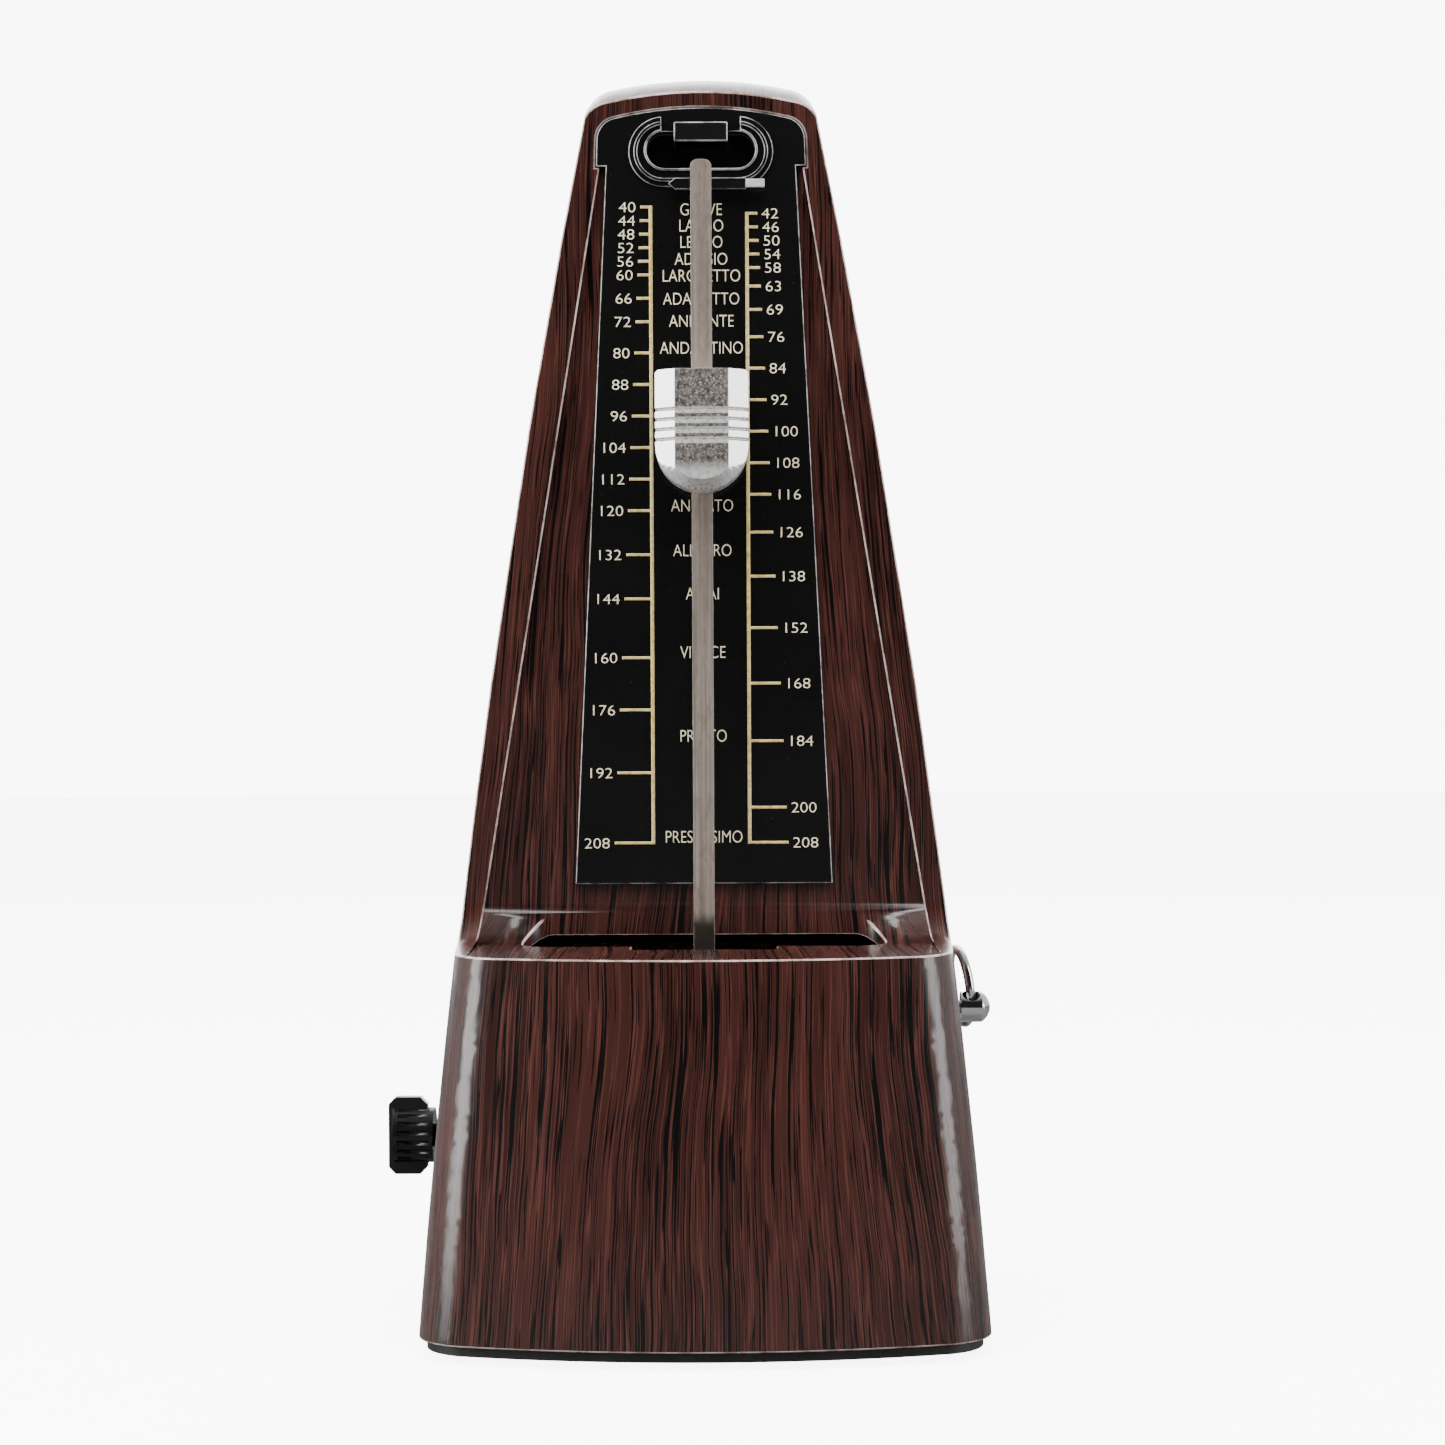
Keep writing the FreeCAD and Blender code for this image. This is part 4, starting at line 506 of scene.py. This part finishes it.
def bevelled(node, body, slot, width, edge=None, face=None, free=False):
    """The CAD node's shape with its sharp edges rounded, which stands for the node.

    A free rounding isn't held back where its edges come close together.
    """
    mesh = frame["nodes"][node].data.copy()
    mesh.name = node + "_finished"
    mesh.materials.clear()
    mesh.materials.append(face or MATERIALS[slot])
    if edge:
        mesh.materials.append(edge)
    work = bmesh.new()
    work.from_mesh(mesh)
    bmesh.ops.remove_doubles(work, verts=work.verts, dist=WELD * MM)
    bmesh.ops.dissolve_limit(work, angle_limit=FLAT, verts=work.verts, edges=work.edges)
    sharp = [e for e in work.edges if e.is_convex and e.calc_face_angle(0) > SHARP]
    bmesh.ops.bevel(
        work,
        geom=sharp,
        offset=width * MM,
        offset_type="OFFSET",
        segments=3,
        profile=0.5,
        affect="EDGES",
        clamp_overlap=not free,
        material=1 if edge else -1,
    )
    work.to_mesh(mesh)
    work.free()
    mesh.shade_smooth()
    piece = add_object(node + "_finished", mesh, body)
    smooth = piece.modifiers.new("weighted", "WEIGHTED_NORMAL")
    smooth.keep_sharp = False
    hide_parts(node)


# node, body, slot, the width of the rounding on its edges, then where they differ from the
# slot's own material: the edges', the faces', and whether the rounding is free
# an edges' material paints a highlight along the rounding
FINISHED = (
    ("case_shell", "root", "case_woodgrain", 0.3, WOOD_HIGHLIGHT_EDGE, None, True),
    ("base_plate", "root", "black_base", 0.3),
    ("scale_plate", "root", "scale_black", 0.36, BLACK_HIGHLIGHT_EDGE),
    ("cover_catch", "root", "black_gloss", 0.32, BLACK_HIGHLIGHT_EDGE),
    ("rod_clip", "root", "black_metal", 0.2, BLACK_HIGHLIGHT_EDGE),
    ("rod_clip_tip", "root", "chrome", 0.12, None, TIP),
    ("key_bush", "root", "black_gloss", 0.25),
    ("winding_key", "winding", "black_gloss", 0.15),
    ("sliding_weight", "weight", "weight_cast", 0.25),
    ("pendulum_rod", "pendulum", "rod_steel", 0.22, ROD_HIGHLIGHT_EDGE),
    ("selector_knob", "selector", "chrome", 0.12),
)


# ---- printed marks ---------------------------------------------------------------------------
def bar(work, x0, x1, z0, z1):
    """A raised bar with a chamfered top on the scale plate's face, in millimetres."""
    front = PLATE_FRONT_Y - MARK_PROUD
    lip = min(MARK_LIP, (x1 - x0) / 3, (z1 - z0) / 3)
    back = PLATE_FRONT_Y + MARK_SINK
    rings = []
    for y, inset in ((back, 0.0), (front + MARK_CHAMFER, 0.0), (front, lip)):
        corners = (
            (x0 + inset, z0 + inset),
            (x1 - inset, z0 + inset),
            (x1 - inset, z1 - inset),
            (x0 + inset, z1 - inset),
        )
        rings.append([work.verts.new((x * MM, y * MM, z * MM)) for x, z in corners])
    for lower, upper in zip(rings, rings[1:]):
        for i in range(4):
            j = (i + 1) % 4
            work.faces.new((lower[i], lower[j], upper[j], upper[i]))
    work.faces.new(rings[-1])
    work.faces.new(list(reversed(rings[0])))


def tick_length(z):
    top = TEMPO_HEIGHTS[0][1]
    bottom = TEMPO_HEIGHTS[-1][1]
    share = (top - z) / (top - bottom)
    return TICK_LENGTH_TOP + (TICK_LENGTH_BOTTOM - TICK_LENGTH_TOP) * share


def tempo_lines():
    """The two upright gold lines and their ticks."""
    half = LINE_WIDTH / 2
    work = bmesh.new()
    for side, tempos in ((-1, LEFT_TEMPOS), (1, RIGHT_TEMPOS)):
        top = tempo_height(tempos[0]) + TICK_THICK / 2
        bottom = tempo_height(tempos[-1]) - TICK_THICK / 2
        line = side * LINE_X[side]
        bar(work, line - half, line + half, bottom, top)
        for tempo in tempos:
            z = tempo_height(tempo)
            inner = line + side * (half - TICK_OVERLAP)
            outer = line + side * (half + tick_length(z))
            x0, x1 = sorted((inner, outer))
            bar(work, x0, x1, z - TICK_THICK / 2, z + TICK_THICK / 2)
    bmesh.ops.recalc_face_normals(work, faces=work.faces)
    mesh = bpy.data.meshes.new("tempo_lines")
    work.to_mesh(mesh)
    work.free()
    mesh.materials.append(GOLD)
    add_object("tempo_lines", mesh, "root")


def text_mesh(words, height, stretch, align, x, z):
    """Lettering as a mesh that stands on the plate's face, centred on z."""
    curve = bpy.data.curves.new("lettering", "FONT")
    curve.body = words
    curve.align_x = align
    curve.size = 1.0
    curve.extrude = 0.5
    curve.offset = STROKE_THIN
    curve.resolution_u = 4
    text = bpy.data.objects.new("lettering", curve)
    bpy.context.scene.collection.objects.link(text)
    bpy.context.view_layer.update()
    mesh = bpy.data.meshes.new_from_object(
        text.evaluated_get(bpy.context.evaluated_depsgraph_get())
    )
    bpy.data.objects.remove(text)
    scale = height / FONT_CAP
    flat = Matrix(
        (
            (scale * stretch, 0, 0, x),
            (0, 0, MARK_PROUD, PLATE_FRONT_Y - MARK_PROUD / 2 + LETTER_SINK),
            (0, scale, 0, z - height / 2),
            (0, 0, 0, 1),
        )
    )
    mesh.transform(Matrix.Scale(MM, 4) @ flat)
    return mesh


def lettering(name, rows):
    """One piece from several words; rows are (words, height, stretch, align, x, z)."""
    work = bmesh.new()
    for row in rows:
        mesh = text_mesh(*row)
        work.from_mesh(mesh)
        bpy.data.meshes.remove(mesh)
    bmesh.ops.remove_doubles(work, verts=work.verts, dist=LETTER_WELD * MM)
    bmesh.ops.recalc_face_normals(work, faces=work.faces)
    mesh = bpy.data.meshes.new(name)
    work.to_mesh(mesh)
    work.free()
    mesh.materials.append(CREAM)
    add_object(name, mesh, "root")


def tempo_text():
    """The numbers outside the lines and the tempo words between them."""
    for side, tempos, align, name in (
        (-1, LEFT_TEMPOS, "RIGHT", "tempo_numbers_left"),
        (1, RIGHT_TEMPOS, "LEFT", "tempo_numbers_right"),
    ):
        rows = []
        for tempo in tempos:
            z = tempo_height(tempo)
            x = side * (LINE_X[side] + LINE_WIDTH / 2 + tick_length(z) + NUMBER_GAP[side])
            rows.append((str(tempo), DIGIT_HEIGHT, DIGIT_STRETCH, align, x, z))
        lettering(name, rows)
    rows = [
        (word, WORD_HEIGHT, WORD_STRETCH, "CENTER", 0.0, tempo_height(tempo))
        for word, tempo in TEMPO_WORDS
    ]
    lettering("tempo_words", rows)


# ---- setting ---------------------------------------------------------------------------------
CAMERA_AT = (3.4, -543.0, 107.0)
FOCAL = 74.5
SENSOR = 36.0
CAMERA_ROLL = math.radians(0.27)
FRONT_GLOW = 0.02                     # brightness of the surround ahead of the object
BACK_GLOW = 0.9                       # and behind it
SWEEP_GLOW = 3.0                      # the bright paper sweep straight behind the object
BACKDROP = 9.0                        # brightness of the backdrop as it is seen
FLOOR_GLOW = 7.0                      # and what the floor adds to its own shading
FLOOR_REACH = 4.0                     # the floor's radius, in metres
FLOOR_SIDES = 64


def camera():
    """A level view of the front from half a metre away."""
    data = bpy.data.cameras.new("camera")
    data.lens = FOCAL
    data.sensor_width = SENSOR
    data.clip_start = 0.01
    data.clip_end = 20.0
    eye = bpy.data.objects.new("camera", data)
    eye.location = [v * MM for v in CAMERA_AT]
    eye.rotation_euler = (math.radians(90), CAMERA_ROLL, 0)
    bpy.context.scene.collection.objects.link(eye)
    bpy.context.scene.camera = eye


def softbox(name, at, aim, size, power, glossy=True):
    """A rectangular lamp, in metres and watts; one that isn't glossy makes no highlights."""
    data = bpy.data.lights.new(name, "AREA")
    data.shape = "RECTANGLE"
    data.size, data.size_y = size
    data.energy = power
    lamp = bpy.data.objects.new(name, data)
    lamp.location = at
    lamp.rotation_euler = (Vector(aim) - Vector(at)).to_track_quat("-Z", "Y").to_euler()
    lamp.visible_camera = False
    lamp.visible_glossy = glossy
    bpy.context.scene.collection.objects.link(lamp)


def surround():
    """A white backdrop to look at; the light it gives is dim ahead of the object."""
    world = bpy.data.worlds.new("surround")
    world.use_nodes = True
    nodes = world.node_tree.nodes
    links = world.node_tree.links
    split = nodes.new("ShaderNodeSeparateXYZ")
    links.new(nodes.new("ShaderNodeTexCoord").outputs["Generated"], split.inputs[0])
    glow = nodes.new("ShaderNodeMath")
    # the glow as it grows with the direction's y: first all round, then straight behind
    for socket, (start, end, dim, bright) in zip(
        glow.inputs,
        ((-0.75, 0.3, FRONT_GLOW, BACK_GLOW), (0.70, 0.95, 0.0, SWEEP_GLOW)),
    ):
        rise = nodes.new("ShaderNodeMapRange")
        rise.interpolation_type = "SMOOTHSTEP"
        links.new(split.outputs["Y"], rise.inputs["Value"])
        rise.inputs["From Min"].default_value = start
        rise.inputs["From Max"].default_value = end
        rise.inputs["To Min"].default_value = dim
        rise.inputs["To Max"].default_value = bright
        links.new(rise.outputs["Result"], socket)
    light = nodes["Background"]
    light.inputs["Color"].default_value = (1, 1, 1, 1)
    links.new(glow.outputs[0], light.inputs["Strength"])
    seen = nodes.new("ShaderNodeBackground")
    seen.inputs["Color"].default_value = (1, 1, 1, 1)
    seen.inputs["Strength"].default_value = BACKDROP
    choice = nodes.new("ShaderNodeMixShader")
    links.new(nodes.new("ShaderNodeLightPath").outputs["Is Camera Ray"], choice.inputs[0])
    links.new(light.outputs[0], choice.inputs[1])
    links.new(seen.outputs[0], choice.inputs[2])
    links.new(choice.outputs[0], nodes["World Output"].inputs["Surface"])
    bpy.context.scene.world = world


def lamps():
    """Soft studio light: a strip at each side, one from above and one from behind."""
    softbox("strip_left", (-0.66, -0.24, 0.30), (0, -0.02, 0.10), (0.30, 0.9), 9.0)
    softbox("strip_right", (0.66, -0.24, 0.30), (0, -0.02, 0.10), (0.26, 0.9), 5.5)
    softbox("top", (0.0, -0.28, 0.92), (0, 0, 0.0), (1.0, 0.9), 22.0, False)
    softbox("behind", (0.0, 1.1, 1.05), (0, 0.1, 0.15), (1.8, 0.8), 12.0)


def pale_floor():
    """A round floor, white to look at, that throws little light back up."""
    mesh = bpy.data.meshes.new("floor")
    corners = []
    for i in range(FLOOR_SIDES):
        turn = 2 * math.pi * i / FLOOR_SIDES
        corners.append((FLOOR_REACH * math.cos(turn), FLOOR_REACH * math.sin(turn), 0))
    mesh.from_pydata(corners, [], [range(FLOOR_SIDES)])
    floor = bpy.data.objects.new("floor", mesh)
    s = Shader("floor")
    tone = s.ramp(s.noise(s.place(), 30.0), (0.3, 0.90), (0.7, 0.93))
    seen = s.add("LightPath").outputs["Is Camera Ray"]
    s.colour(s.mix(seen, (0.12, 0.12, 0.12), tone))
    s.join(s.math("MULTIPLY", seen, FLOOR_GLOW), s.bsdf.inputs["Emission Strength"])
    s.set(Roughness=0.8, Specular_IOR_Level=0.0, Emission_Color=(1, 1, 1, 1))
    mesh.materials.append(s.material)
    bpy.context.scene.collection.objects.link(floor)


camera()
surround()
lamps()
pale_floor()
dress_frame()
for finished in FINISHED:
    bevelled(*finished)
tempo_lines()
tempo_text()
